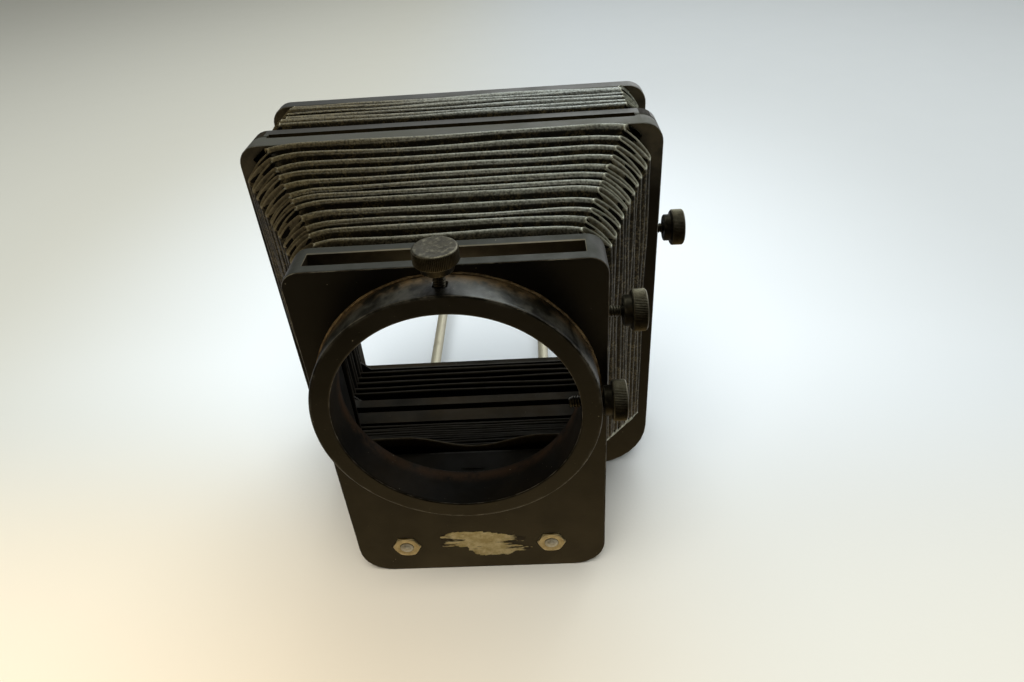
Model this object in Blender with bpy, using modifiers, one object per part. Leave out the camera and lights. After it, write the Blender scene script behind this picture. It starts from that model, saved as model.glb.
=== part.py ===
"""Compendium bellows hood (matte box) for a view camera lens, in metres, +Z up.

A clamp ring on a slotted filter block goes over the lens. A tapered bellows joins the block to a
middle frame with a mask slot, and a short straight bellows joins that to the mouth frame. Both
frames slide on two rods that are bolted to the block.

The origin is the middle of the block's foot. +Y runs from the lens to the hood's mouth.
"""

import math

import bmesh
import bpy
from mathutils import Matrix, Vector

# ---------------------------------------------------------------- driving dimensions
OPTICAL_AXIS_Z = 0.0838

BLOCK_WIDTH = 0.0889
BLOCK_HEIGHT = 0.1286
BLOCK_DEPTH = 0.014
BLOCK_FRONT_WALL = 0.0035
FILTER_SIZE = 0.077
FILTER_SLOT_GAP = 0.0062
BLOCK_TOP_RADIUS = 0.0055
BLOCK_FOOT_RADIUS = 0.011
WINDOW_CHAMFER = 0.006

RING_CENTRE_X = -0.0003
RING_RADIUS = 0.0423
RING_BORE_RADIUS = 0.03625
RING_LENGTH = 0.011
RING_SPIGOT_RADIUS = 0.0385
RING_SPIGOT_LENGTH = 0.0031
RING_SCREW_SETBACK = 0.0055

FRAME_CENTRE_X = -0.0007
FRAME_WIDTH = 0.133
FRAME_HEIGHT = 0.1458
FRAME_TOP_RADIUS = 0.0065
FRAME_FOOT_RADIUS = 0.021
FRAME_OPENING = 0.111
MID_OPENING_RADIUS = 0.004

MID_FRAME_Y = 0.043
MID_FRAME_DEPTH = 0.0145
MASK_SLOT_SETBACK = 0.0067
MASK_SLOT_GAP = 0.0033
MASK_SIZE = 0.117

MOUTH_FRAME_Y = 0.0811
MOUTH_FRAME_DEPTH = 0.0058
MOUTH_OPENING_DROP = 0.0039
MOUTH_OPENING_RADIUS = 0.001

FRONT_PLEATS = 12
REAR_PLEATS = 6
PLEAT_DEPTH = 0.0075
FRONT_BELLOWS_HALF = 0.0454
WIDE_BELLOWS_HALF = 0.063
BELLOWS_CLOTH = 0.0025
CREST_CHAMFER = 0.0078
VALLEY_CHAMFER = 0.005
BELLOWS_FRAME_THICKNESS = 0.0008
BELLOWS_FRAME_BORDER = 0.005
BELLOWS_FRAME_INSET = 0.0015

ROD_RADIUS = 0.00238
ROD_SPACING = 0.0522
ROD_Z = 0.0131
ROD_FRONT_STUB = 0.0017
ROD_END_Y = 0.208
ROD_TIP_CHAMFER = 0.0006

NUT_ACROSS_FLATS = 0.009
FRONT_NUT_THICKNESS = 0.003
FRONT_NUT_PROUD = 0.001
JAM_NUT_THICKNESS = 0.0032
END_CAP_RADIUS = 0.0042
END_CAP_LENGTH = 0.0065
END_CAP_WALL = 0.002
END_CAP_ARC_STEPS = 4
BUSH_RADIUS = 0.0035
BUSH_FLANGE_RADIUS = 0.0048
BUSH_FLANGE_THICKNESS = 0.0008

SCREW_RADIUS = 0.00175
SCREW_REACH = 0.0101
SHOULDER_RADIUS = 0.0045
SHOULDER_THICKNESS = 0.0024
HEAD_RADIUS = 0.0061
HEAD_THICKNESS = 0.0043
HEAD_CHAMFER = 0.0004
SCREW_SOCKET_DEPTH = 0.0045
RING_TOP_SCREW_RISE = 0.0467
RING_SIDE_SCREW_X = 0.0426
FILTER_LOCK_X = 0.049
FILTER_LOCK_Z = 0.107
MASK_LOCK_X = 0.0689
MASK_LOCK_Z = 0.1057

RING_STEPS = 80
HEAD_STEPS = 36
STEM_STEPS = 24
GAP = 0.0003
RUNNING_GAP = 0.00012
EDGE_ROUND = 0.0005
CUT_OVERRUN = 0.002

# ---------------------------------------------------------------- derived places
BLOCK_FRONT_Y = -BLOCK_DEPTH / 2
BLOCK_BACK_Y = BLOCK_DEPTH / 2
FILTER_SLOT_Y = BLOCK_FRONT_Y + BLOCK_FRONT_WALL
MASK_SLOT_Y = MID_FRAME_Y + MASK_SLOT_SETBACK
MID_FRAME_BACK_Y = MID_FRAME_Y + MID_FRAME_DEPTH
ROD_XS = {
    "left": FRAME_CENTRE_X - ROD_SPACING / 2,
    "right": FRAME_CENTRE_X + ROD_SPACING / 2,
}

parts = bpy.data.collections.new("compendium_hood")
cutters = bpy.data.collections.new("cutters")


# ---------------------------------------------------------------- scene and materials
def clear_scene():
    for old in list(bpy.data.objects):
        bpy.data.objects.remove(old)
    for collection in (parts, cutters):
        bpy.context.scene.collection.children.link(collection)
    cutters.hide_render = True


def make_material(name, colour, roughness, metallic):
    material = bpy.data.materials.new(name)
    material.use_nodes = True
    shader = material.node_tree.nodes["Principled BSDF"]
    shader.inputs["Base Color"].default_value = (*colour, 1.0)
    shader.inputs["Roughness"].default_value = roughness
    shader.inputs["Metallic"].default_value = metallic
    return material


def make_part(name, mesh, material):
    part = bpy.data.objects.new(name, mesh)
    parts.objects.link(part)
    mesh.materials.clear()
    mesh.materials.append(material)
    return part


# ---------------------------------------------------------------- shapes
def rounded_rectangle(centre_x, half_width, bottom, top, foot_radius, top_radius, arc_steps=8):
    """Outline of an upright plate, as (x, z) points, with its own radius on the foot and top corners."""
    corners = (
        (half_width - foot_radius, bottom + foot_radius, foot_radius, -90),
        (half_width - top_radius, top - top_radius, top_radius, 0),
        (top_radius - half_width, top - top_radius, top_radius, 90),
        (foot_radius - half_width, bottom + foot_radius, foot_radius, 180),
    )
    points = []
    for corner_x, corner_z, radius, start in corners:
        for step in range(arc_steps + 1):
            angle = math.radians(start + 90 * step / arc_steps)
            x = centre_x + corner_x + radius * math.cos(angle)
            points.append((x, corner_z + radius * math.sin(angle)))
    return points


def chamfered_square(centre_x, half, chamfer):
    """Outline of a square with cut corners at the optical axis' height, as (x, z) points."""
    short = half - chamfer
    points = [(half, -short), (half, short), (short, half), (-short, half)]
    points += [(-half, short), (-half, -short), (-short, -half), (short, -half)]
    return [(centre_x + x, OPTICAL_AXIS_Z + z) for x, z in points]


def plate_mesh(outlines, front_y, depth):
    """A flat plate standing in XZ, from its outline and the outlines of its holes."""
    curve = bpy.data.curves.new("outline", "CURVE")
    curve.dimensions = "2D"
    curve.fill_mode = "BOTH"
    curve.extrude = depth / 2
    for outline in outlines:
        spline = curve.splines.new("POLY")
        spline.points.add(len(outline) - 1)
        for point, (x, z) in zip(spline.points, outline):
            point.co = (x, z, 0, 1)
        spline.use_cyclic_u = True
    guide = bpy.data.objects.new("outline", curve)
    guide.location.y = front_y + depth / 2
    guide.rotation_euler.x = math.pi / 2
    parts.objects.link(guide)
    bpy.context.view_layer.update()
    mesh = bpy.data.meshes.new_from_object(guide.evaluated_get(bpy.context.evaluated_depsgraph_get()))
    mesh.transform(guide.matrix_world)
    bpy.data.objects.remove(guide)
    solid = bmesh.new()
    solid.from_mesh(mesh)
    bmesh.ops.remove_doubles(solid, verts=solid.verts, dist=1e-6)
    bmesh.ops.dissolve_limit(solid, angle_limit=0.01, verts=solid.verts, edges=solid.edges)
    solid.to_mesh(mesh)
    solid.free()
    return mesh


def turned_mesh(name, profile):
    """The edges of a profile of (radius, height) points, for a Screw modifier about Z."""
    closed = profile[0][0] > 0
    mesh = bpy.data.meshes.new(name)
    edges = [(i, i + 1) for i in range(len(profile) - 1)]
    if closed:
        edges.append((len(profile) - 1, 0))
    mesh.from_pydata([(radius, 0, height) for radius, height in profile], edges, [])
    return mesh


def turned_part(name, profile, steps, material):
    part = make_part(name, turned_mesh(name, profile), material)
    screw = part.modifiers.new("turn", "SCREW")
    screw.axis = "Z"
    screw.steps = steps
    screw.render_steps = steps
    screw.use_merge_vertices = True
    screw.merge_threshold = 1e-6
    screw.use_smooth_shade = True
    return part


def prism_mesh(name, radius, length, sides):
    """A prism from the origin up Z, with one corner on X."""
    mesh = bpy.data.meshes.new(name)
    solid = bmesh.new()
    bmesh.ops.create_cone(
        solid, cap_ends=True, segments=sides, radius1=radius, radius2=radius, depth=length
    )
    bmesh.ops.rotate(solid, matrix=Matrix.Rotation(math.pi / 2, 3, "Z"), verts=solid.verts)
    bmesh.ops.translate(solid, vec=(0, 0, length / 2), verts=solid.verts)
    solid.to_mesh(mesh)
    solid.free()
    return mesh


def axis_turn(axis):
    """The rotation that turns Z onto an axis, and keeps X level where it can."""
    if abs(axis[1]) == 1:
        return (-math.pi / 2 * axis[1], 0, 0)
    return Vector(axis).to_track_quat("Z", "Y").to_euler()


def box_cutter(name, low, high):
    mesh = bpy.data.meshes.new(name)
    solid = bmesh.new()
    bmesh.ops.create_cube(solid, size=1)
    bmesh.ops.scale(solid, vec=Vector(high) - Vector(low), verts=solid.verts)
    bmesh.ops.translate(solid, vec=(Vector(low) + Vector(high)) / 2, verts=solid.verts)
    solid.to_mesh(mesh)
    solid.free()
    return cutter_object(name, mesh)


def prism_cutter(name, start, axis, radius, length, sides):
    """A straight prism of any number of sides, from a start point along an axis."""
    cutter = cutter_object(name, prism_mesh(name, radius, length, sides))
    cutter.location = start
    cutter.rotation_euler = axis_turn(axis)
    return cutter


def cutter_object(name, mesh):
    cutter = bpy.data.objects.new(name, mesh)
    cutter.hide_render = True
    cutter.display_type = "WIRE"
    cutters.objects.link(cutter)
    return cutter


def cut(part, cutter):
    boolean = part.modifiers.new(cutter.name, "BOOLEAN")
    boolean.object = cutter
    boolean.operation = "DIFFERENCE"


def round_edges(part, width):
    bevel = part.modifiers.new("round", "BEVEL")
    bevel.width = width
    bevel.segments = 2
    bevel.limit_method = "ANGLE"
    bevel.angle_limit = math.radians(50)


def hexagon_radius(across_flats):
    return across_flats / math.sqrt(3)


# ---------------------------------------------------------------- filter block and clamp ring
def make_filter_block(material):
    """The block that carries the clamp ring and holds a square filter in its slot."""
    outline = rounded_rectangle(0, BLOCK_WIDTH / 2, 0, BLOCK_HEIGHT, BLOCK_FOOT_RADIUS, BLOCK_TOP_RADIUS)
    block = make_part("filter_block", plate_mesh([outline], BLOCK_FRONT_Y, BLOCK_DEPTH), material)
    round_edges(block, EDGE_ROUND)
    slot_bottom = OPTICAL_AXIS_Z - FILTER_SIZE / 2
    slot = box_cutter(
        "filter_slot_cut",
        (-FILTER_SIZE / 2, FILTER_SLOT_Y, slot_bottom),
        (FILTER_SIZE / 2, FILTER_SLOT_Y + FILTER_SLOT_GAP, BLOCK_HEIGHT + CUT_OVERRUN),
    )
    cut(block, slot)
    bore = prism_cutter(
        "spigot_bore_cut",
        (RING_CENTRE_X, BLOCK_FRONT_Y - CUT_OVERRUN, OPTICAL_AXIS_Z),
        (0, 1, 0),
        RING_SPIGOT_RADIUS + GAP,
        CUT_OVERRUN + BLOCK_FRONT_WALL + FILTER_SLOT_GAP / 2,
        RING_STEPS,
    )
    cut(block, bore)
    window_outline = chamfered_square(0, FILTER_SIZE / 2, WINDOW_CHAMFER)
    window_start = FILTER_SLOT_Y + FILTER_SLOT_GAP / 2
    window = cutter_object(
        "window_cut",
        plate_mesh([window_outline], window_start, BLOCK_BACK_Y + CUT_OVERRUN - window_start),
    )
    cut(block, window)
    lock_hole = prism_cutter(
        "filter_lock_hole_cut",
        (FILTER_SIZE / 2 - CUT_OVERRUN, FILTER_SLOT_Y + FILTER_SLOT_GAP / 2, FILTER_LOCK_Z),
        (1, 0, 0),
        SCREW_RADIUS + GAP,
        BLOCK_WIDTH / 2 - FILTER_SIZE / 2 + 2 * CUT_OVERRUN,
        STEM_STEPS,
    )
    cut(block, lock_hole)
    for side, x in ROD_XS.items():
        rod_hole = prism_cutter(
            f"block_rod_hole_cut_{side}",
            (x, BLOCK_FRONT_Y - CUT_OVERRUN, ROD_Z),
            (0, 1, 0),
            ROD_RADIUS + GAP,
            BLOCK_DEPTH + 2 * CUT_OVERRUN,
            STEM_STEPS,
        )
        cut(block, rod_hole)
        nut_pocket = prism_cutter(
            f"nut_pocket_cut_{side}",
            (x, BLOCK_FRONT_Y - CUT_OVERRUN, ROD_Z),
            (0, 1, 0),
            hexagon_radius(NUT_ACROSS_FLATS + 2 * GAP),
            CUT_OVERRUN + FRONT_NUT_THICKNESS - FRONT_NUT_PROUD + GAP,
            6,
        )
        cut(block, nut_pocket)
    return block


def make_clamp_ring(material):
    """The ring that slips over the lens barrel, with a spigot in the block's front wall."""
    chamfer = EDGE_ROUND
    profile = [
        (RING_BORE_RADIUS, RING_LENGTH - chamfer),
        (RING_BORE_RADIUS + chamfer, RING_LENGTH),
        (RING_RADIUS - chamfer, RING_LENGTH),
        (RING_RADIUS, RING_LENGTH - chamfer),
        (RING_RADIUS, GAP),
        (RING_SPIGOT_RADIUS, GAP),
        (RING_SPIGOT_RADIUS, -RING_SPIGOT_LENGTH),
        (RING_BORE_RADIUS, -RING_SPIGOT_LENGTH),
    ]
    ring = turned_part("lens_clamp_ring", profile, RING_STEPS, material)
    ring.location = (RING_CENTRE_X, BLOCK_FRONT_Y, OPTICAL_AXIS_Z)
    ring.rotation_euler = axis_turn((0, -1, 0))
    screw_y = BLOCK_FRONT_Y - RING_SCREW_SETBACK
    for name, start, axis in (
        ("top", (RING_CENTRE_X, screw_y, OPTICAL_AXIS_Z + RING_BORE_RADIUS), (0, 0, 1)),
        ("side", (RING_CENTRE_X + RING_BORE_RADIUS, screw_y, OPTICAL_AXIS_Z), (1, 0, 0)),
    ):
        start = Vector(start) - CUT_OVERRUN * Vector(axis)
        length = RING_RADIUS - RING_BORE_RADIUS + 2 * CUT_OVERRUN
        hole = prism_cutter(f"ring_{name}_hole_cut", start, axis, SCREW_RADIUS + GAP, length, STEM_STEPS)
        cut(ring, hole)
    return ring


# ---------------------------------------------------------------- sliding frames
def make_sliding_frame(name, front_y, depth, opening_drop, opening_radius, material):
    """An upright frame with a light opening, whose foot may be dropped, and a hole for each rod's bush."""
    half_width = FRAME_WIDTH / 2
    outline = rounded_rectangle(
        FRAME_CENTRE_X, half_width, 0, FRAME_HEIGHT, FRAME_FOOT_RADIUS, FRAME_TOP_RADIUS
    )
    frame = make_part(name, plate_mesh([outline], front_y, depth), material)
    round_edges(frame, EDGE_ROUND)
    half = FRAME_OPENING / 2
    opening_outline = rounded_rectangle(
        FRAME_CENTRE_X,
        half,
        OPTICAL_AXIS_Z - half - opening_drop,
        OPTICAL_AXIS_Z + half,
        opening_radius,
        opening_radius,
        4,
    )
    opening = cutter_object(
        f"{name}_opening_cut",
        plate_mesh([opening_outline], front_y - CUT_OVERRUN, depth + 2 * CUT_OVERRUN),
    )
    cut(frame, opening)
    for side, x in ROD_XS.items():
        rod_hole = prism_cutter(
            f"{name}_rod_hole_cut_{side}",
            (x, front_y - CUT_OVERRUN, ROD_Z),
            (0, 1, 0),
            BUSH_RADIUS + RUNNING_GAP,
            depth + 2 * CUT_OVERRUN,
            STEM_STEPS,
        )
        cut(frame, rod_hole)
    return frame


def make_mid_frame(material):
    """The middle frame, with a slot open at the top for a mask card and a hole for its lock screw."""
    frame = make_sliding_frame("mid_frame", MID_FRAME_Y, MID_FRAME_DEPTH, 0, MID_OPENING_RADIUS, material)
    slot = box_cutter(
        "mask_slot_cut",
        (FRAME_CENTRE_X - MASK_SIZE / 2, MASK_SLOT_Y, OPTICAL_AXIS_Z - MASK_SIZE / 2),
        (FRAME_CENTRE_X + MASK_SIZE / 2, MASK_SLOT_Y + MASK_SLOT_GAP, FRAME_HEIGHT + CUT_OVERRUN),
    )
    cut(frame, slot)
    lock_hole = prism_cutter(
        "mask_lock_hole_cut",
        (FRAME_CENTRE_X + MASK_SIZE / 2 - CUT_OVERRUN, MASK_SLOT_Y + MASK_SLOT_GAP / 2, MASK_LOCK_Z),
        (1, 0, 0),
        SCREW_RADIUS + GAP,
        FRAME_WIDTH / 2 - MASK_SIZE / 2 + 2 * CUT_OVERRUN,
        STEM_STEPS,
    )
    cut(frame, lock_hole)
    return frame


def make_bush(name, x, front_y, depth, material):
    """A flanged brass bush pushed in from the frame's back, which the rod runs through."""
    bore = ROD_RADIUS + RUNNING_GAP
    flange_base = GAP
    flange_top = GAP + BUSH_FLANGE_THICKNESS
    profile = [
        (bore, flange_top),
        (BUSH_FLANGE_RADIUS, flange_top),
        (BUSH_FLANGE_RADIUS, flange_base),
        (BUSH_RADIUS, flange_base),
        (BUSH_RADIUS, -depth),
        (bore, -depth),
    ]
    bush = turned_part(name, profile, STEM_STEPS, material)
    bush.location = (x, front_y + depth, ROD_Z)
    bush.rotation_euler = axis_turn((0, 1, 0))
    return bush


# ---------------------------------------------------------------- bellows
def make_bellows_frame(name, front_y, centre_x, half, material):
    """The thin square frame that a bellows end is glued to."""
    outlines = [
        chamfered_square(centre_x, half, CREST_CHAMFER),
        chamfered_square(centre_x, half - BELLOWS_FRAME_BORDER, VALLEY_CHAMFER),
    ]
    return make_part(name, plate_mesh(outlines, front_y, BELLOWS_FRAME_THICKNESS), material)


def make_bellows(name, start, end, pleats, material):
    """A pleated square tube from start to end, each a (y, centre x, half size): a zigzag of chamfered
    squares outside, and the same shifted inwards inside."""
    steps = 2 * pleats

    def section(step, inward):
        t = step / steps
        y, centre_x, half = (a + (b - a) * t for a, b in zip(start, end))
        crest = step % 2 == 1
        depth = 0 if crest else PLEAT_DEPTH
        chamfer = CREST_CHAMFER if crest else VALLEY_CHAMFER
        outline = chamfered_square(centre_x, half - depth - inward, chamfer)
        return [(x, y, z) for x, z in outline]

    sections = [section(step, 0) for step in range(steps + 1)]
    sections += [section(step, BELLOWS_CLOTH) for step in reversed(range(steps + 1))]
    solid = bmesh.new()
    rings = [[solid.verts.new(point) for point in outline] for outline in sections]
    for ring, following in zip(rings, rings[1:] + rings[:1]):
        for corner in range(len(ring)):
            beside = (corner + 1) % len(ring)
            solid.faces.new((ring[corner], ring[beside], following[beside], following[corner]))
    bmesh.ops.recalc_face_normals(solid, faces=solid.faces)
    mesh = bpy.data.meshes.new(name)
    solid.to_mesh(mesh)
    solid.free()
    return make_part(name, mesh, material)


# ---------------------------------------------------------------- rods and their fittings
def make_rod(side, x, material):
    """A guide rod with chamfered ends, from its stub in the front nut to its end cap."""
    front_y = BLOCK_FRONT_Y - ROD_FRONT_STUB
    length = ROD_END_Y - front_y
    small = ROD_RADIUS - ROD_TIP_CHAMFER
    profile = [
        (0, length),
        (small, length),
        (ROD_RADIUS, length - ROD_TIP_CHAMFER),
        (ROD_RADIUS, ROD_TIP_CHAMFER),
        (small, 0),
        (0, 0),
    ]
    rod = turned_part(f"rod_{side}", profile, STEM_STEPS, material)
    rod.location = (x, front_y, ROD_Z)
    rod.rotation_euler = axis_turn((0, 1, 0))
    return rod


def make_nut(name, x, front_y, thickness, material):
    """A hexagon nut with two corners level, bored to clear the rod."""
    mesh = prism_mesh(name, hexagon_radius(NUT_ACROSS_FLATS), thickness, 6)
    nut = make_part(name, mesh, material)
    nut.location = (x, front_y, ROD_Z)
    nut.rotation_euler = axis_turn((0, 1, 0))
    start = (x, front_y - CUT_OVERRUN, ROD_Z)
    length = thickness + 2 * CUT_OVERRUN
    cut(nut, prism_cutter(f"{name}_bore_cut", start, (0, 1, 0), ROD_RADIUS + RUNNING_GAP, length, STEM_STEPS))
    return nut


def make_end_cap(side, x, material):
    """A domed cap on the rod's far end, which stops the mouth frame from sliding off."""
    bore = ROD_RADIUS + RUNNING_GAP
    socket = END_CAP_LENGTH - END_CAP_WALL
    rise = END_CAP_RADIUS / 2
    profile = [(0, END_CAP_LENGTH)]
    for step in range(1, END_CAP_ARC_STEPS + 1):
        angle = math.pi / 2 * step / END_CAP_ARC_STEPS
        height = END_CAP_LENGTH - rise * (1 - math.cos(angle))
        profile.append((END_CAP_RADIUS * math.sin(angle), height))
    profile += [(END_CAP_RADIUS, 0), (bore, 0), (bore, socket), (0, socket)]
    cap = turned_part(f"rod_end_cap_{side}", profile, STEM_STEPS, material)
    cap.location = (x, ROD_END_Y + GAP - socket, ROD_Z)
    cap.rotation_euler = axis_turn((0, 1, 0))
    return cap


# ---------------------------------------------------------------- thumbscrews
def make_thumbscrew(name, seat, axis, material):
    """A thumbscrew whose shoulder's underside is centred at seat and whose head points along axis."""
    pivot = bpy.data.objects.new(f"{name}_axis", None)
    pivot.location = seat
    pivot.rotation_euler = axis_turn(axis)
    parts.objects.link(pivot)

    tip = SCREW_RADIUS - HEAD_CHAMFER
    stem_top = SCREW_SOCKET_DEPTH - GAP
    stem_profile = [
        (0, stem_top),
        (SCREW_RADIUS, stem_top),
        (SCREW_RADIUS, HEAD_CHAMFER - SCREW_REACH),
        (tip, -SCREW_REACH),
        (0, -SCREW_REACH),
    ]
    stem = turned_part(f"{name}_stem", stem_profile, STEM_STEPS, material)
    stem.parent = pivot

    top = SHOULDER_THICKNESS + HEAD_THICKNESS
    socket = SCREW_RADIUS + RUNNING_GAP
    head_profile = [
        (0, top),
        (HEAD_RADIUS - HEAD_CHAMFER, top),
        (HEAD_RADIUS, top - HEAD_CHAMFER),
        (HEAD_RADIUS, SHOULDER_THICKNESS + HEAD_CHAMFER),
        (HEAD_RADIUS - HEAD_CHAMFER, SHOULDER_THICKNESS),
        (SHOULDER_RADIUS, SHOULDER_THICKNESS),
        (SHOULDER_RADIUS, 0),
        (socket, 0),
        (socket, SCREW_SOCKET_DEPTH),
        (0, SCREW_SOCKET_DEPTH),
    ]
    head = turned_part(f"{name}_head", head_profile, HEAD_STEPS, material)
    head.parent = pivot


def make_thumbscrews(material):
    ring_y = BLOCK_FRONT_Y - RING_SCREW_SETBACK
    filter_y = FILTER_SLOT_Y + FILTER_SLOT_GAP / 2
    mask_y = MASK_SLOT_Y + MASK_SLOT_GAP / 2
    ring_top = OPTICAL_AXIS_Z + RING_TOP_SCREW_RISE
    screws = {
        "ring_top_screw": ((RING_CENTRE_X, ring_y, ring_top), (0, 0, 1)),
        "ring_side_screw": ((RING_SIDE_SCREW_X, ring_y, OPTICAL_AXIS_Z), (1, 0, 0)),
        "filter_lock_screw": ((FILTER_LOCK_X, filter_y, FILTER_LOCK_Z), (1, 0, 0)),
        "mask_lock_screw": ((MASK_LOCK_X, mask_y, MASK_LOCK_Z), (1, 0, 0)),
    }
    for name, (seat, axis) in screws.items():
        make_thumbscrew(name, seat, axis, material)


# ---------------------------------------------------------------- the hood
def build():
    clear_scene()
    phenolic = make_material("black_phenolic", (0.022, 0.019, 0.016), 0.6, 0.0)
    ring_paint = make_material("worn_black_ring", (0.05, 0.042, 0.034), 0.5, 0.3)
    leather = make_material("black_leathercloth", (0.03, 0.028, 0.026), 0.7, 0.0)
    card = make_material("black_card", (0.03, 0.03, 0.03), 0.8, 0.0)
    screw_metal = make_material("blackened_metal", (0.09, 0.08, 0.065), 0.45, 0.8)
    rod_metal = make_material("satin_aluminium", (0.6, 0.59, 0.56), 0.35, 1.0)
    brass = make_material("dull_brass", (0.45, 0.4, 0.26), 0.45, 1.0)

    make_filter_block(phenolic)
    make_clamp_ring(ring_paint)
    make_mid_frame(phenolic)
    make_sliding_frame(
        "mouth_frame",
        MOUTH_FRAME_Y,
        MOUTH_FRAME_DEPTH,
        MOUTH_OPENING_DROP,
        MOUTH_OPENING_RADIUS,
        phenolic,
    )

    layer = GAP + BELLOWS_FRAME_THICKNESS
    narrow_half = FRONT_BELLOWS_HALF - BELLOWS_FRAME_INSET
    wide_half = WIDE_BELLOWS_HALF - BELLOWS_FRAME_INSET
    make_bellows_frame("front_bellows_lens_frame", BLOCK_BACK_Y + GAP, 0, narrow_half, card)
    for name, front_y in (
        ("front_bellows_mid_frame", MID_FRAME_Y - layer),
        ("rear_bellows_mid_frame", MID_FRAME_BACK_Y + GAP),
        ("rear_bellows_mouth_frame", MOUTH_FRAME_Y - layer),
    ):
        make_bellows_frame(name, front_y, FRAME_CENTRE_X, wide_half, card)
    clear = layer + GAP
    make_bellows(
        "front_bellows",
        (BLOCK_BACK_Y + clear, 0, FRONT_BELLOWS_HALF),
        (MID_FRAME_Y - clear, FRAME_CENTRE_X, WIDE_BELLOWS_HALF),
        FRONT_PLEATS,
        leather,
    )
    make_bellows(
        "rear_bellows",
        (MID_FRAME_BACK_Y + clear, FRAME_CENTRE_X, WIDE_BELLOWS_HALF),
        (MOUTH_FRAME_Y - clear, FRAME_CENTRE_X, WIDE_BELLOWS_HALF),
        REAR_PLEATS,
        leather,
    )

    front_nut_y = BLOCK_FRONT_Y - FRONT_NUT_PROUD
    for side, x in ROD_XS.items():
        make_rod(side, x, rod_metal)
        make_nut(f"front_nut_{side}", x, front_nut_y, FRONT_NUT_THICKNESS, brass)
        make_nut(f"jam_nut_{side}", x, BLOCK_BACK_Y + GAP, JAM_NUT_THICKNESS, brass)
        make_end_cap(side, x, brass)
        make_bush(f"mid_bush_{side}", x, MID_FRAME_Y, MID_FRAME_DEPTH, brass)
        make_bush(f"mouth_bush_{side}", x, MOUTH_FRAME_Y, MOUTH_FRAME_DEPTH, brass)
    make_thumbscrews(screw_metal)


build()
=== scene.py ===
"""Looks of the compendium bellows lens hood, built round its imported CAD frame. Metres, +Z up.

+Y runs from the clamp ring to the mouth. Each plate is a softened copy of its CAD node, each turned
piece is lathed again with its thread, knurl or dome, and both bellows are folded from one section.
"""

import math

import bmesh
import bpy
import numpy as np
from mathutils import Matrix, Vector, noise


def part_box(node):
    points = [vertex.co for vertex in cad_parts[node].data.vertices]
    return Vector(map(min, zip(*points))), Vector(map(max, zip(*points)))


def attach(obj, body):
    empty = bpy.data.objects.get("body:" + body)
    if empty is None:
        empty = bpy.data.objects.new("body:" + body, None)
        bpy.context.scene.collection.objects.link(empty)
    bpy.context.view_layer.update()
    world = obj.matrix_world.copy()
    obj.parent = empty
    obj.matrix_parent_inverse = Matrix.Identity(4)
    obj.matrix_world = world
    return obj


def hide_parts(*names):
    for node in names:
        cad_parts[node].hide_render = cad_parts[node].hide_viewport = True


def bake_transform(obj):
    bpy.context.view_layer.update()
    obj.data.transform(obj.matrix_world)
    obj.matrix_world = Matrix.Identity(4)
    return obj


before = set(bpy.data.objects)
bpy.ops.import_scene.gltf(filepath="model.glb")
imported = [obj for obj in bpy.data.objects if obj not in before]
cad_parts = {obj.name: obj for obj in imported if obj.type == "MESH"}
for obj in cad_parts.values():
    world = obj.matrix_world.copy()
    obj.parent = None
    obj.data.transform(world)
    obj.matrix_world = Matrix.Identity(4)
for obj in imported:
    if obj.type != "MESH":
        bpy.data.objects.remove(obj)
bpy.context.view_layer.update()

# --- places read from the frame
BLOCK_LOW, BLOCK_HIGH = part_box("filter_block")
RING_LOW, RING_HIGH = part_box("lens_clamp_ring")
MID_LOW, MID_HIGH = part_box("mid_frame")
RING_CENTRE_X = (RING_LOW.x + RING_HIGH.x) / 2
AXIS_Z = (RING_LOW.z + RING_HIGH.z) / 2
RING_RADIUS = (RING_HIGH.x - RING_LOW.x) / 2
RING_BORE = 0.03625
RING_SPIGOT = 0.0385
RING_SCREW_Y = BLOCK_LOW.y - 0.0055
FRAME_CENTRE_X = (MID_LOW.x + MID_HIGH.x) / 2
FRAME_CENTRE_Z = (MID_LOW.z + MID_HIGH.z) / 2
FRAME_TOP_FROM = 0.14
OPENING_HALF = 0.0562
BLOCK_WINDOW_HALF = (0.040, 0.041)

# --- sizes of the visible detail
EDGE_SOFTNESS = 0.0003
EDGE_PIECE = 0.0009
CHIP_DEPTH = 0.00022
SLOT_CHIP_DEPTH = 0.0009
MASK_SLOT = (MID_LOW.y + 0.0062, MID_LOW.y + 0.0105)
SEAM_WIDTH = 0.0010
FRAME_TOP_RADIUS = 0.0065
FRAME_FOOT_RADIUS = 0.021
# the angle between faces where the CAD mesh already has a chamfered edge
EXISTING_ROUND = (math.radians(35), math.radians(55))

PLEAT_DEPTH = 0.0075
# how far short of the corner the valleys end, and how much further short the side's crests end than the top's
VALLEY_SHORT = 0.0045
SIDE_EXTRA = 0.0006
VALLEY_ROUND = 0.00038
CLOTH = 0.00042
CORNER_SOFT = 0.0008
PANEL_COLUMNS = 16
# shares of the way from a panel's end to the corner ridge
CORNER_STEPS = (0.0, 0.3, 0.55, 0.74, 0.86, 0.93, 0.97)
CORNER_DIP = 0.0011
RIDGE_LIFT = 0.0005
RIDGE_WIDTH = 0.00075
RIDGE_WEAR = 1.35
# painted light: a little rub colour in the corner folds, which lie in shade
CORNER_PAINTED_LIGHT = 0.05
# how far from its crest to its valley a corner ridge lies
ARM_OFFSET = 0.56
WANDER = 0.00075
LIFT = 0.0007
LEFT_DROOP_MORE = 1.7
SIDE_WEAR = 0.16
FIRST_FOLD_RISE = 0.0045
FIRST_FOLD_HANG = 0.0003
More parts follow.
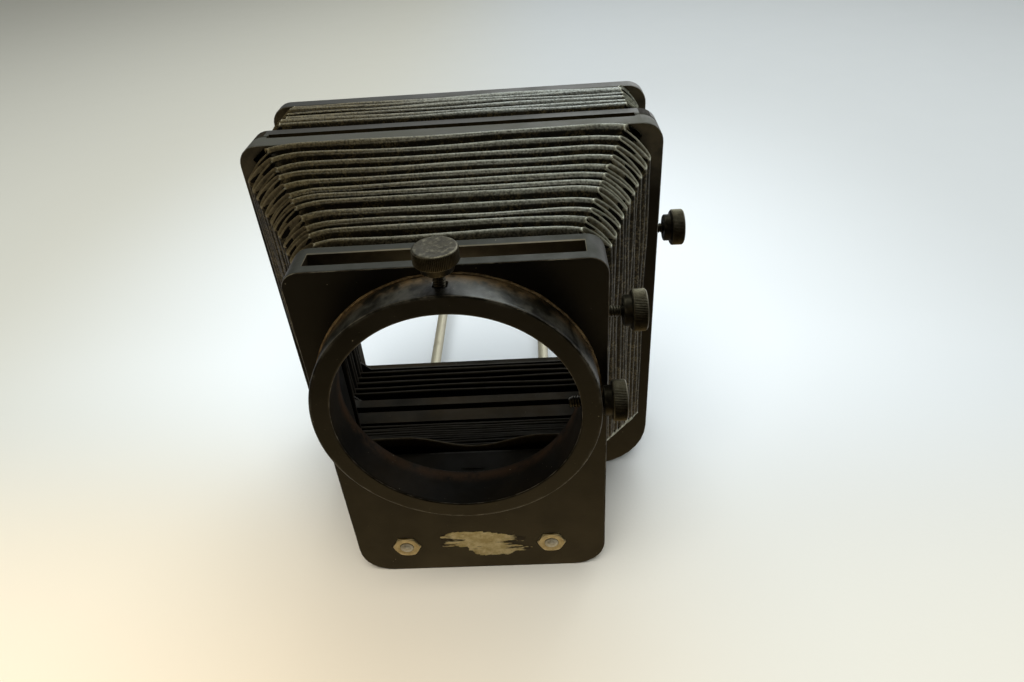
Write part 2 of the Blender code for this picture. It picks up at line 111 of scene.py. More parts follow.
# each end's centre in X, half size and the crests' distance from the corner
FRONT_ENDS = ((0.0002, 0.0453, 0.0077), (-0.0016, 0.0632, 0.0092))
FRONT_CRESTS = (0.0093, 0.0412)
FRONT_CREST_GAPS = (3.1, 2.6, 3.3, 3.4, 2.2, 2.2, 2.9, 3.0, 3.0, 3.5, 3.6)
REAR_END = (FRAME_CENTRE_X, 0.063, 0.0062)
REAR_FIRST_CREST = 0.0019
REAR_CREST_GAPS = (3.0, 4.3, 3.1, 4.2, 3.2)

THREAD_PITCH = 0.0254 / 32
THREAD_MAJOR = 0.00175
THREAD_MINOR = 0.00132
KNURL_TEETH = 80
KNURL_DEPTH = 0.00026
HEAD_SHOULDER = 0.0024
HEAD_SHOULDER_RADIUS = 0.0045
HEAD_SOCKET_DEPTH = 0.0045
SCREW_HOLE = 0.00188
BORE_CLEARANCE = 0.00012
FRONT_SUNK = 0.0006
STUD_LENGTH = 0.00075
BUSH_RADIUS = 0.0035


# --- mesh helpers
def new_piece(name, mesh, material, body, slot, *nodes, matrix=None):
    """A visible piece in its place, which replaces CAD nodes and rides a body."""
    piece = bpy.data.objects.new(name, mesh)
    bpy.context.scene.collection.objects.link(piece)
    mesh.materials.clear()
    mesh.materials.append(material)
    if nodes:
        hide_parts(*nodes)
    if matrix:
        piece.matrix_world = matrix
    if body:
        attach(piece, body)
    return piece


def smooth_by_area(piece):
    """Smooth shading whose normals follow the big faces, so that flats stay flat beside rounded edges."""
    for polygon in piece.data.polygons:
        polygon.use_smooth = True
    weighted = piece.modifiers.new("normals", "WEIGHTED_NORMAL")
    weighted.weight = 100
    weighted.keep_sharp = True


def grid_mesh(name, rows, attributes, loop):
    """A closed body from rows of points that run round it. A loop joins the last row to the first, as on
    a ring. Otherwise each end closes on the middle of its row."""
    count, columns = rows.shape[:2]
    points = rows.reshape(-1, 3)
    index = np.arange(count * columns).reshape(count, columns)
    following = np.roll(index, -1, axis=0) if loop else index[1:]
    first = index if loop else index[:-1]
    beside = np.roll(first, -1, axis=1)
    beside_following = np.roll(following, -1, axis=1)
    quads = np.stack([first, beside, beside_following, following], axis=-1).reshape(-1, 4)
    faces = [tuple(quad) for quad in quads.tolist()]
    values = {key: value.reshape(-1) for key, value in attributes.items()}
    if not loop:
        middles = rows[[0, -1]].mean(axis=1)
        points = np.vstack([points, middles])
        values = {key: np.append(value, [0.0, 0.0]) for key, value in values.items()}
        start_pole = count * columns
        for column in range(columns):
            after = (column + 1) % columns
            faces.append((start_pole, int(index[0, after]), int(index[0, column])))
            faces.append((start_pole + 1, int(index[-1, column]), int(index[-1, after])))
    mesh = bpy.data.meshes.new(name)
    mesh.from_pydata(points.tolist(), [], faces)
    for key, value in values.items():
        layer = mesh.attributes.new(key, "FLOAT", "POINT")
        layer.data.foreach_set("value", value.astype(np.float32))
    solid = bmesh.new()
    solid.from_mesh(mesh)
    bmesh.ops.recalc_face_normals(solid, faces=solid.faces)
    write_mesh(solid, mesh)
    for polygon in mesh.polygons:
        polygon.use_smooth = True
    return mesh


def write_mesh(solid, mesh):
    solid.to_mesh(mesh)
    solid.free()
    return mesh


def turned_mesh(name, profile, steps, shape=None):
    """A turned body about Z from (radius, height, edge wear) points. shape changes the radii by angle."""
    angles = np.arange(steps) * 2 * math.pi / steps
    loop = profile[0][0] > 0
    if not loop:
        profile = profile[1:-1]
    rows, wear = [], []
    for number, (radius, height, edge) in enumerate(profile):
        radii, edges, heights = (np.full(steps, value, float) for value in (radius, edge, height))
        if shape:
            radii, edges, heights = shape(number, radius, height, edge, angles)
        rows.append(np.stack([radii * np.cos(angles), radii * np.sin(angles), heights], axis=-1))
        wear.append(edges)
    return grid_mesh(name, np.array(rows), {"edge": np.array(wear)}, loop)


def axis_matrix(place, axis):
    """Stands a body that was turned about Z on a place, with Z along an axis and X kept level."""
    if abs(axis[1]) == 1:
        turn = Matrix.Rotation(-math.pi / 2 * axis[1], 4, "X")
    else:
        turn = Vector(axis).to_track_quat("Z", "Y").to_matrix().to_4x4()
    return Matrix.Translation(place) @ turn


def softened_mesh(node, softness=EDGE_SOFTNESS, chip_depth=CHIP_DEPTH):
    """A copy of a CAD node's mesh whose sharp edges are rounded and worn, with an edge attribute that is
    1 along the middle of each rounding. The mask slot's edges are chipped deepest."""
    solid = bmesh.new()
    solid.from_mesh(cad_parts[node].data)
    bmesh.ops.remove_doubles(solid, verts=solid.verts, dist=1e-6)
    bmesh.ops.dissolve_limit(solid, angle_limit=0.008, verts=solid.verts, edges=solid.edges)
    edge_layer = solid.verts.layers.float.new("edge")
    low, high = EXISTING_ROUND
    folds = [(edge, edge.calc_face_angle(0)) for edge in solid.edges]
    rounded = [edge for edge, angle in folds if low < angle < high and edge.is_convex]
    sharp = [edge for edge, angle in folds if angle >= high]
    for edge in rounded:
        for vert in split_edge(edge):
            vert[edge_layer] = 1.0
    sharp_pieces = []
    for edge in sharp:
        before = set(solid.edges)
        split_edge(edge)
        sharp_pieces += [edge, *(set(solid.edges) - before)]
    values = {"offset": softness, "segments": 2, "profile": 0.5, "affect": "EDGES", "clamp_overlap": True}
    made = bmesh.ops.bevel(solid, geom=sharp_pieces, **values)
    bevel_faces = set(made["faces"])
    for vert in made["verts"]:
        if all(face in bevel_faces for face in vert.link_faces):
            vert[edge_layer] = 1.0
    solid.normal_update()
    for vert in solid.verts:
        if vert[edge_layer] > 0.5:
            bite = noise.noise(vert.co * 420) + 0.6 * noise.noise(vert.co * 1300)
            in_slot = MASK_SLOT[0] < vert.co.y < MASK_SLOT[1] and vert.co.z > FRAME_TOP_FROM
            depth = SLOT_CHIP_DEPTH if node == "mid_frame" and in_slot else chip_depth
            vert.co -= vert.normal * depth * max(0.0, bite - 0.1)
    return write_mesh(solid, bpy.data.meshes.new(f"{node}_look"))


def split_edge(edge):
    """Splits an edge into pieces of about EDGE_PIECE, and returns all of its points."""
    verts = [edge.verts[0], edge.verts[1]]
    pieces = max(1, round(edge.calc_length() / EDGE_PIECE))
    last = edge.verts[1]
    for left in range(pieces, 1, -1):
        edge, vert = bmesh.utils.edge_split(edge, last, 1 / left)
        edge = next(e for e in vert.link_edges if last not in e.verts)
        last = vert
        verts.append(vert)
    return verts


def share_material(piece, material, chosen):
    """Gives another material to the polygons that pass a test."""
    piece.data.materials.append(material)
    for polygon in piece.data.polygons:
        if chosen(polygon):
            polygon.material_index = 1


def cut_away(piece, drill_mesh):
    """Cuts a closed mesh out of a piece for good."""
    drill = bpy.data.objects.new("drill", drill_mesh)
    bpy.context.scene.collection.objects.link(drill)
    boolean = piece.modifiers.new("hole", "BOOLEAN")
    boolean.object = drill
    boolean.operation = "DIFFERENCE"
    boolean.solver = "EXACT"
    bpy.context.view_layer.update()
    cut = bpy.data.meshes.new_from_object(piece.evaluated_get(bpy.context.evaluated_depsgraph_get()))
    piece.modifiers.remove(boolean)
    old = piece.data
    name = old.name
    piece.data = cut
    bpy.data.meshes.remove(old)
    cut.name = name
    bpy.data.objects.remove(drill)
    bpy.data.meshes.remove(drill_mesh)


# --- material helpers
class Recipe:
    """A material with short calls for its nodes. A value is a number, a colour or another node's socket.
    Its colour is what the surface has so far."""

    def __init__(self, name, place=None, metallic=0.0, ior=1.5, specular=0.5):
        self.material = bpy.data.materials.new(name)
        self.material.use_nodes = True
        self.tree = self.material.node_tree
        self.shader = self.tree.nodes["Principled BSDF"]
        for socket, value in (("Metallic", metallic), ("IOR", ior), ("Specular IOR Level", specular)):
            self.shader.inputs[socket].default_value = value
        if place:
            self.place = self.node("ShaderNodeAttribute", {}, "Vector", attribute_name=place)
        else:
            self.place = self.node("ShaderNodeTexCoord", {}, "Object")

    def node(self, kind, values, output=0, **settings):
        made = self.tree.nodes.new(kind)
        for setting, value in settings.items():
            setattr(made, setting, value)
        for socket, value in values.items():
            self.feed(made.inputs[socket], value)
        return made.outputs[output]

    def feed(self, socket, value):
        if isinstance(value, bpy.types.NodeSocket):
            self.tree.links.new(value, socket)
        elif isinstance(value, tuple) and len(value) == 3 and len(socket.default_value) == 4:
            socket.default_value = (*value, 1.0)
        else:
            socket.default_value = value

    def math(self, operation, first, second=0.0, clamp=False):
        return self.node("ShaderNodeMath", {0: first, 1: second}, operation=operation, use_clamp=clamp)

    def vector(self, operation, first, second=(0, 0, 0), output=0):
        return self.node("ShaderNodeVectorMath", {0: first, 1: second}, output, operation=operation)

    def times(self, *values):
        product = values[0]
        for value in values[1:]:
            product = self.math("MULTIPLY", product, value)
        return product

    def add(self, first, second, clamp=False):
        return self.math("ADD", first, second, clamp)

    def mix(self, factor, first, second):
        return self.node("ShaderNodeMix", {0: factor, 6: first, 7: second}, 2, data_type="RGBA")

    def lerp(self, factor, first, second):
        return self.node("ShaderNodeMix", {0: factor, 2: first, 3: second}, 0, data_type="FLOAT")

    def step(self, value, low, high, start=0.0, end=1.0):
        """Goes smoothly from start to end as value goes from low to high."""
        values = {"Value": value, "From Min": low, "From Max": high, "To Min": start, "To Max": end}
        return self.node("ShaderNodeMapRange", values, interpolation_type="SMOOTHSTEP")

    def near(self, value, middle, reach):
        """1 where a value lies within reach of a middle, 0 elsewhere."""
        return self.math("LESS_THAN", self.math("ABSOLUTE", self.math("SUBTRACT", value, middle)), reach)

    def noise(self, scale, detail=3, roughness=0.55, place=None, distortion=0.0):
        values = {"Vector": place or self.place, "Scale": scale, "Detail": detail}
        values |= {"Roughness": roughness, "Distortion": distortion}
        return self.node("ShaderNodeTexNoise", values)

    def patches(self, scale, detail, low, high, start=0.0, end=1.0, roughness=0.55):
        """Noise that goes from start to end between its values low and high."""
        return self.step(self.noise(scale, detail, roughness), low, high, start, end)

    def cells(self, scale, output="Distance", feature="F1"):
        values = {"Vector": self.place, "Scale": scale}
        return self.node("ShaderNodeTexVoronoi", values, output, feature=feature)

    def stretched(self, *factors):
        return self.vector("MULTIPLY", self.place, factors)

    def attribute(self, name):
        return self.node("ShaderNodeAttribute", {}, "Fac", attribute_name=name)

    def part_of(self, vector, axis):
        return self.node("ShaderNodeSeparateXYZ", {0: vector}, axis)

    def upward(self):
        return self.part_of(self.node("ShaderNodeNewGeometry", {}, "Normal"), "Z")

    def worn(self, amount, scale=300):
        """Where an edge has lost its finish: the edge attribute, broken up by noise."""
        reach = self.add(self.attribute("edge"), self.times(self.noise(scale, 4, 0.65), 1.1))
        return self.step(reach, 1.62 - amount, 1.9 - amount)

    def start(self, factor, first, second):
        """The surface's first colour, between two."""
        self.colour = self.mix(factor, first, second)

    def tint(self, factor, colour):
        """Lays a colour over what the surface has so far."""
        self.colour = self.mix(factor, self.colour, colour)

    def specks(self, spacing, size):
        """Sparse round specks of dust or lint, in some of the cells."""
        near = self.step(self.cells(1 / spacing), size / spacing, 0.6 * size / spacing)
        chosen = self.part_of(self.cells(1 / spacing, "Color"), "X")
        return self.math("MULTIPLY", near, self.math("GREATER_THAN", chosen, 0.55))

    def speckle(self, coarse, fine, amount, colour):
        """Specks in two sizes, each a (spacing, size)."""
        both = self.math("MAXIMUM", self.specks(*coarse), self.specks(*fine))
        self.tint(self.times(both, amount), colour)

    def finish(self, roughness, height, distance, strength=1.0):
        """Joins the colour, a roughness and a bump height to the shader."""
        values = {"Height": height, "Distance": distance, "Strength": strength}
        self.feed(self.shader.inputs["Base Color"], self.colour)
        self.feed(self.shader.inputs["Roughness"], roughness)
        self.feed(self.shader.inputs["Normal"], self.node("ShaderNodeBump", values))
        return self.material


# --- materials
def phenolic_material(name, top_dust_and_sheen, dust_from_z=None):
    """Brown-black moulded phenolic: satin, with rubbed edges, settled dust, specks and fine scratches. The
    pale dust on the upward tops is partly painted sheen. A dusty frame also has tan dust near its top; a
    block has painted light in its slot."""
    mat = Recipe(name)
    side, depth, height = (mat.part_of(mat.place, axis) for axis in "XYZ")
    mat.start(mat.patches(32, 4, 0.35, 0.68), (0.0042, 0.0034, 0.0017), (0.0092, 0.0066, 0.0030))
    scratch = mat.step(mat.noise(1, 2, 0.5, mat.stretched(150, 150, 2600), 0.6), 0.70, 0.78)
    mat.tint(mat.times(scratch, mat.patches(45, 3, 0.5, 0.7), 0.35), (0.075, 0.060, 0.042))
    worn = mat.worn(0.42, 800) if dust_from_z else mat.worn(0.58, 500)
    bare = mat.mix(mat.patches(170, 3, 0.42, 0.62), (0.070, 0.050, 0.028), (0.24, 0.22, 0.17))
    mat.tint(worn, bare)
    # Dust on the upward tops above 0.10 m, and painted sheen: its pale blue-grey lightens them as light from
    # behind would. It is weaker behind the mask slot.
    dust_and_sheen = mat.times(
        mat.step(mat.upward(), 0.5, 0.95),
        mat.step(height, 0.10, 0.12),
        mat.step(depth, MASK_SLOT[1] - 0.0002, MASK_SLOT[1] - 0.0004, 0.2, 1.0),
        mat.patches(140, 5, 0.25, 0.70, 0.35, 0.85, 0.7),
    )
    mat.tint(dust_and_sheen, top_dust_and_sheen)
    if dust_from_z:
        near_top = mat.step(height, dust_from_z, dust_from_z + 0.012)
        patchy = mat.patches(110, 5, 0.30, 0.62, 0.3, 0.9, 0.7)
        mat.tint(mat.times(near_top, patchy, mat.step(mat.upward(), 0.6, 0.2)), (0.090, 0.070, 0.030))
    else:
        # Painted light: a tan on the shaded walls of the block's slot stands in for the light they would
        # catch.
        in_slot = mat.times(
            mat.near(depth, (BLOCK_LOW.y + BLOCK_HIGH.y) / 2, 0.0035),
            mat.near(side, (BLOCK_LOW.x + BLOCK_HIGH.x) / 2, 0.0387),
            mat.step(height, BLOCK_HIGH.z - 0.014, BLOCK_HIGH.z - 0.009),
        )
        mat.tint(mat.times(in_slot, mat.patches(90, 4, 0.3, 0.65, 0.35, 0.9)), (0.150, 0.120, 0.066))
    mat.speckle((0.0052, 0.00022), (0.0021, 0.00009), 0.8, (0.30, 0.26, 0.19))
    rough = mat.add(mat.patches(70, 4, 0.3, 0.7, 0.36, 0.50), mat.times(dust_and_sheen, 0.35))
    rough = mat.add(rough, mat.times(worn, 0.12), clamp=True)
    grain = mat.add(mat.noise(1500), mat.times(mat.noise(260), 1.5))
    return mat.finish(rough, grain, 0.00003, 0.7)


def ring_material():
    """The clamp ring: black, rubbed brown at its base, paler outside in patches of painted sheen, scratched
    in arcs on its face.
    """
    mat = Recipe("worn_black_ring", ior=1.52, specular=0.42)
    across = mat.vector("SUBTRACT", mat.place, (RING_CENTRE_X, 0, AXIS_Z))
    radius = mat.vector("LENGTH", mat.vector("MULTIPLY", across, (1, 0, 1)), output="Value")
    angle = mat.math("ARCTAN2", mat.part_of(across, "X"), mat.part_of(across, "Z"))
    mat.start(mat.patches(45, 4, 0.35, 0.65), (0.0032, 0.0029, 0.0014), (0.0072, 0.0058, 0.0027))
    values = {0: mat.times(radius, 2600), 1: mat.times(angle, 2.2)}
    arcs = mat.noise(1, 3, 0.6, mat.node("ShaderNodeCombineXYZ", values))
    arcs = mat.times(mat.step(arcs, 0.66, 0.76), mat.patches(60, 3, 0.50, 0.68), 0.40)
    mat.tint(arcs, (0.085, 0.070, 0.050))
    outside = mat.step(radius, RING_RADIUS - 0.0012, RING_RADIUS - 0.0004)
    # Painted sheen with some worn finish: pale patches on the outside stand in for its reflection.
    polish_and_sheen = mat.patches(150, 5, 0.42, 0.64, roughness=0.7)
    mat.tint(mat.times(outside, polish_and_sheen, 0.6), (0.085, 0.080, 0.066))
    to_base = mat.step(mat.part_of(mat.place, "Y"), RING_LOW.y + 0.0045, BLOCK_LOW.y - 0.0006)
    rubbed = mat.times(outside, to_base, mat.patches(150, 4, 0.36, 0.62, roughness=0.65))
    mat.tint(rubbed, (0.150, 0.090, 0.036))
    mat.tint(mat.worn(0.30), (0.16, 0.145, 0.12))
    mat.speckle((0.0034, 0.00020), (0.0013, 0.00008), 0.8, (0.30, 0.26, 0.18))
    face_rough = mat.patches(80, 4, 0.3, 0.7, 0.33, 0.44)
    rough = mat.lerp(outside, face_rough, mat.patches(210, 5, 0.38, 0.62, 0.32, 0.50, 0.7))
    rough = mat.add(rough, mat.times(rubbed, 0.25), clamp=True)
    height = mat.add(mat.noise(1700), mat.times(mat.noise(240), 2.0))
    return mat.finish(rough, height, 0.00003, 0.7)


def leathercloth_material():
    """Black pebbled leathercloth: pale where the folds are rubbed, with painted highlight that makes the
    rubbed crests paler and bluer to the right and on the rear bellows; brown dust in the flanks, raised as
    painted light in the shaded corners. Its places are the folds' places at rest."""
    mat = Recipe("black_leathercloth", place="rest")
    pebble = mat.cells(1750, feature="SMOOTH_F1")
    mat.start(mat.patches(70, 4, 0.36, 0.66), (0.0085, 0.0070, 0.0031), (0.0230, 0.0176, 0.0076))
    dusty = mat.times(mat.step(pebble, 0.60, 0.25), mat.patches(300, 4, 0.42, 0.62, roughness=0.7), 0.75)
    mat.tint(dusty, (0.165, 0.130, 0.062))
    # Dust, and painted light: the corner folds lie in shade, and their dust brown is raised to stand in for
    # light there.
    in_corner = mat.times(mat.attribute("corner"), mat.patches(500, 4, 0.3, 0.65, 0.2, 0.8, 0.7))
    mat.tint(in_corner, (0.165, 0.134, 0.064))
    crest = mat.attribute("crest")
    patch = mat.patches(420, 4, 0.25, 0.75, 0.55, 1.0, 0.7)
    rubbed = mat.times(crest, patch, mat.step(pebble, 0.75, 0.25, 0.35, 1.0))
    # Painted highlight: the rubbed crests turn paler and bluer to the right and on the rear bellows, and the
    # pale worn ridges fade to the left, as light from the right and behind would make them.
    painted_light_to_right = mat.step(mat.part_of(mat.place, "X"), -0.045, 0.030)
    in_rear = mat.step(mat.part_of(mat.place, "Y"), MID_HIGH.y - 0.002, MID_HIGH.y)
    rub_and_highlight_colour = mat.mix(in_rear, (0.46, 0.49, 0.46), (0.52, 0.58, 0.60))
    rub_and_highlight_colour = mat.mix(painted_light_to_right, (0.225, 0.185, 0.100), rub_and_highlight_colour)
    mat.tint(mat.math("MINIMUM", rubbed, 1.0), rub_and_highlight_colour)
    bare = mat.times(mat.step(crest, 0.8, 1.5), mat.step(painted_light_to_right, 0.0, 1.0, 0.05, 0.9))
    mat.tint(bare, (0.70, 0.72, 0.62))
    mat.speckle((0.0042, 0.00020), (0.0017, 0.00009), 0.75, (0.30, 0.26, 0.18))
    height = mat.add(mat.times(pebble, -1.0), mat.times(mat.noise(5200, 2), 0.35))
    return mat.finish(mat.patches(160, 4, 0.3, 0.7, 0.36, 0.50), height, 0.00013, 0.9)


def lining_material():
    """The bellows' matt black inside, with painted light in brown on its folds."""
    mat = Recipe("black_lining", place="rest", specular=0.15)
    # Painted light: brown on the lining's folds stands in for the light they catch.
    folds = mat.times(mat.attribute("crest"), mat.patches(420, 4, 0.25, 0.75, 0.55, 1.0, 0.7))
    mat.start(folds, (0.0050, 0.0040, 0.0024), (0.085, 0.062, 0.032))
    return mat.finish(mat.patches(200, 3, 0.3, 0.7, 0.72, 0.86), mat.noise(2400), 0.00006, 0.8)


def inner_material():
    """The matt brown-black inside of the openings, streaked with rust-coloured dust."""
    mat = Recipe("matt_inside", specular=0.12)
    mat.start(mat.patches(32, 4, 0.35, 0.68), (0.0060, 0.0046, 0.0022), (0.022, 0.0145, 0.0060))
    mat.tint(mat.worn(0.4), (0.085, 0.062, 0.034))
    depth = mat.part_of(mat.place, "Y")
    rusty = mat.times(
        mat.step(depth, BLOCK_LOW.y - 0.003, BLOCK_LOW.y + 0.001),
        mat.step(depth, BLOCK_LOW.y + 0.004, BLOCK_LOW.y + 0.001),
        mat.patches(120, 4, 0.34, 0.6, roughness=0.65),
    )
    mat.tint(rusty, (0.060, 0.029, 0.010))
    mat.speckle((0.0034, 0.00020), (0.0016, 0.00010), 0.7, (0.28, 0.25, 0.19))
    return mat.finish(mat.patches(90, 3, 0.3, 0.7, 0.68, 0.84), mat.noise(900, 4), 0.00005, 0.7)


def card_material():
    """Black card, fibrous and matt, greyed at its cut edges."""
    mat = Recipe("black_card", ior=1.4)
    fibre = mat.noise(1, 4, 0.7, mat.stretched(900, 900, 4200))
    mat.start(mat.step(fibre, 0.3, 0.75), (0.009, 0.008, 0.006), (0.022, 0.018, 0.012))
    mat.tint(mat.worn(0.45), (0.075, 0.066, 0.050))
    return mat.finish(mat.patches(300, 3, 0.3, 0.7, 0.72, 0.88), fibre, 0.00005, 0.8)


def screw_material():
    """The thumbscrews' blackened brass, rubbed to grey metal on the knurl's ridges and the head's face."""
    mat = Recipe("blackened_screw_metal", metallic=0.9)
    tarnish = mat.patches(420, 4, 0.3, 0.7, roughness=0.6)
    mat.start(tarnish, (0.034, 0.030, 0.021), (0.066, 0.060, 0.044))
    stain = mat.patches(900, 3, 0.55, 0.72, roughness=0.7)
    mat.tint(mat.times(stain, 0.7), (0.045, 0.033, 0.018))
    mat.tint(mat.worn(0.62, 700), (0.155, 0.142, 0.105))
    grime = mat.step(mat.attribute("edge"), 0.25, 0.0)
    rough = mat.add(mat.patches(500, 3, 0.3, 0.7, 0.34, 0.50), mat.times(grime, 0.06))
    return mat.finish(rough, mat.add(mat.noise(2600), mat.times(stain, -0.8)), 0.00003, 0.8)


def rod_material():
    """Satin aluminium, drawn lengthwise and slightly marked where the frames have run."""
    mat = Recipe("satin_aluminium", metallic=0.35)
    drawn = mat.noise(1, 3, 0.6, mat.stretched(5200, 5200, 110))
    mat.start(mat.step(drawn, 0.3, 0.7), (0.36, 0.33, 0.25), (0.47, 0.44, 0.34))
    dull = mat.patches(130, 4, 0.52, 0.72)
    mat.tint(mat.times(dull, 0.6), (0.33, 0.30, 0.24))
    rough = mat.add(mat.step(drawn, 0.3, 0.7, 0.42, 0.52), mat.times(dull, 0.18))
    return mat.finish(rough, drawn, 0.00002, 0.6)


def stud_material():
    """The rods' front ends: aluminium gone dull and cream-grey in the nuts."""
    mat = Recipe("dull_stud", metallic=0.3)
    mat.start(mat.patches(700, 4, 0.35, 0.65), (0.50, 0.46, 0.36), (0.66, 0.63, 0.54))
    return mat.finish(mat.patches(500, 3, 0.3, 0.7, 0.42, 0.58), mat.noise(1500), 0.00003, 0.6)


def brass_material():
    """Dull yellow brass with brown spots and grime."""
    mat = Recipe("dull_brass", metallic=0.35)
    tarnish = mat.patches(380, 5, 0.32, 0.70, roughness=0.65)
    mat.start(tarnish, (0.70, 0.58, 0.33), (0.50, 0.39, 0.19))
    spots = mat.patches(1100, 4, 0.60, 0.74, roughness=0.7)
    mat.tint(mat.times(spots, 0.8), (0.10, 0.068, 0.030))
    mat.tint(mat.times(mat.worn(0.5, 600), 0.7), (0.74, 0.64, 0.40))
    rough = mat.add(mat.patches(600, 3, 0.3, 0.7, 0.34, 0.48), mat.times(spots, 0.2))
    return mat.finish(rough, mat.noise(1800), 0.00003, 0.7)


def scar_material():
    """Old paper and yellowed glue, thin enough at its ends for the black plate to show in streaks."""
    mat = Recipe("label_scar", ior=1.45)
    mottle = mat.patches(330, 5, 0.34, 0.66, roughness=0.7)
    mat.start(mottle, (0.44, 0.33, 0.13), (0.66, 0.55, 0.29))
    streaks = mat.noise(1, 4, 0.65, mat.stretched(130, 900, 900))
    away = mat.math("ABSOLUTE", mat.part_of(mat.place, "X"))
    bare = mat.step(mat.add(streaks, mat.step(away, 0.004, 0.017, -0.07, 0.16)), 0.53, 0.61)
    mat.tint(bare, (0.032, 0.022, 0.010))
    return mat.finish(mat.patches(400, 3, 0.3, 0.7, 0.62, 0.82), mat.noise(900, 4), 0.00006, 0.9)


def grime_material():
    """Tan dust and old polish that has settled in a joint."""
    mat = Recipe("joint_grime", ior=1.4)
    patchy = mat.patches(260, 4, 0.35, 0.65, roughness=0.7)
    mat.start(patchy, (0.10, 0.062, 0.028), (0.33, 0.225, 0.110))
    return mat.finish(mat.step(patchy, 0.0, 1.0, 0.6, 0.8), patchy, 0.00004, 0.6)


def floor_material():
    """Plain matt paper with painted light: warmer and brighter in front on the left, darker and greyer
    behind, and a pale patch behind the object that fills its shadow.
    """
    mat = Recipe("paper_floor", ior=1.4, specular=0.2)
    side, back = mat.part_of(mat.place, "X"), mat.part_of(mat.place, "Y")
    # Painted light: warm and bright in front on the left, darker and greyer behind.
    front_painted_light = mat.mix(mat.step(side, -0.08, 0.12), (0.96, 0.83, 0.62), (0.70, 0.69, 0.61))
    back_painted_shade = mat.mix(mat.step(side, -0.18, 0.10), (0.60, 0.60, 0.53), (0.60, 0.64, 0.65))
    mat.start(mat.step(back, -0.08, 0.10), front_painted_light, back_painted_shade)
    # Painted light: a pale patch behind the object fills its shadow.
    behind = mat.times(mat.step(back, 0.0, 0.14), mat.step(back, 0.60, 0.20))
    middle = mat.step(mat.math("ABSOLUTE", side), 0.34, 0.02)
    mat.tint(mat.times(behind, middle), (0.86, 0.93, 0.97))
    return mat.finish(mat.patches(30, 3, 0.3, 0.7, 0.7, 0.8), mat.noise(700), 0.00003)


# --- plates
def build_plates(phenolic, dusty_phenolic, card, inner):
    plates = (
        ("filter_block", "root", phenolic, "phenolic"),
        ("mid_frame", "mid", dusty_phenolic, "phenolic"),
        ("mouth_frame", "mouth", dusty_phenolic, "phenolic"),
        ("front_bellows_lens_frame", "root", card, "card"),
        ("front_bellows_mid_frame", "mid", card, "card"),
        ("rear_bellows_mid_frame", "mid", card, "card"),
        ("rear_bellows_mouth_frame", "mouth", card, "card"),
    )
    for node, body, material, slot in plates:
        softness = EDGE_SOFTNESS * (0.4 if slot == "card" else 1)
        mesh = softened_mesh(node, softness, CHIP_DEPTH * softness / EDGE_SOFTNESS)
        piece = new_piece(f"{node}_look", mesh, material, body, slot, node)
        if node == "mid_frame":
            cut_away(piece, seam_mesh())
        if slot == "phenolic":
            share_material(piece, inner, in_block_window if body == "root" else in_frame_shade)
        smooth_by_area(piece)


def in_block_window(polygon):
    """On the walls of the block's window, behind its front edge."""
    x, y, z = polygon.center
    inside = abs(x - RING_CENTRE_X) < BLOCK_WINDOW_HALF[0] and abs(z - AXIS_Z) < BLOCK_WINDOW_HALF[1]
    return inside and y > BLOCK_LOW.y + 0.0003 and abs(polygon.normal.y) < 0.5


def in_frame_shade(polygon):
    """In a frame's opening, or on the middle frame's top behind its slot."""
    x, y, z = polygon.center
    inside = abs(x - FRAME_CENTRE_X) < OPENING_HALF and abs(z - FRAME_CENTRE_Z) < OPENING_HALF
    behind_slot = MASK_SLOT[1] < y < MID_HIGH.y + 0.001 and z > FRAME_TOP_FROM and polygon.normal.z > 0.8
    return inside and abs(polygon.normal.y) < 0.5 or behind_slot


def in_ring_bore(polygon):
    """On the wall of the clamp ring's bore."""
    x, y, z = polygon.center
    return math.hypot(x - RING_CENTRE_X, z - AXIS_Z) < RING_BORE + 0.00006 and abs(polygon.normal.y) < 0.5


def seam_mesh():
    """A band that cuts the seam of the middle frame's halves into its outside, in line with its slot."""
    middle_y = (MASK_SLOT[0] + MASK_SLOT[1]) / 2
    rows = []
    for x_sign, z_sign, start in ((1, 1, 0), (-1, 1, 90), (-1, -1, 180), (1, -1, 270)):
        radius = FRAME_TOP_RADIUS if z_sign > 0 else FRAME_FOOT_RADIUS
        centre_x = (MID_HIGH.x if x_sign > 0 else MID_LOW.x) - x_sign * radius
        centre_z = (MID_HIGH.z if z_sign > 0 else MID_LOW.z) - z_sign * radius
        for angle in range(start, start + 91, 10):
            across, up = math.cos(math.radians(angle)), math.sin(math.radians(angle))
            row = []
            for out, y_sign in ((-0.0006, -1), (0.002, -1), (0.002, 1), (-0.0006, 1)):
                x, z = centre_x + (radius + out) * across, centre_z + (radius + out) * up
                row.append((x, middle_y + y_sign * SEAM_WIDTH / 2, z))
            rows.append(row)
    rows = np.array(rows)
    return grid_mesh("seam", rows, {"edge": np.zeros(rows.shape[:2])}, loop=True)


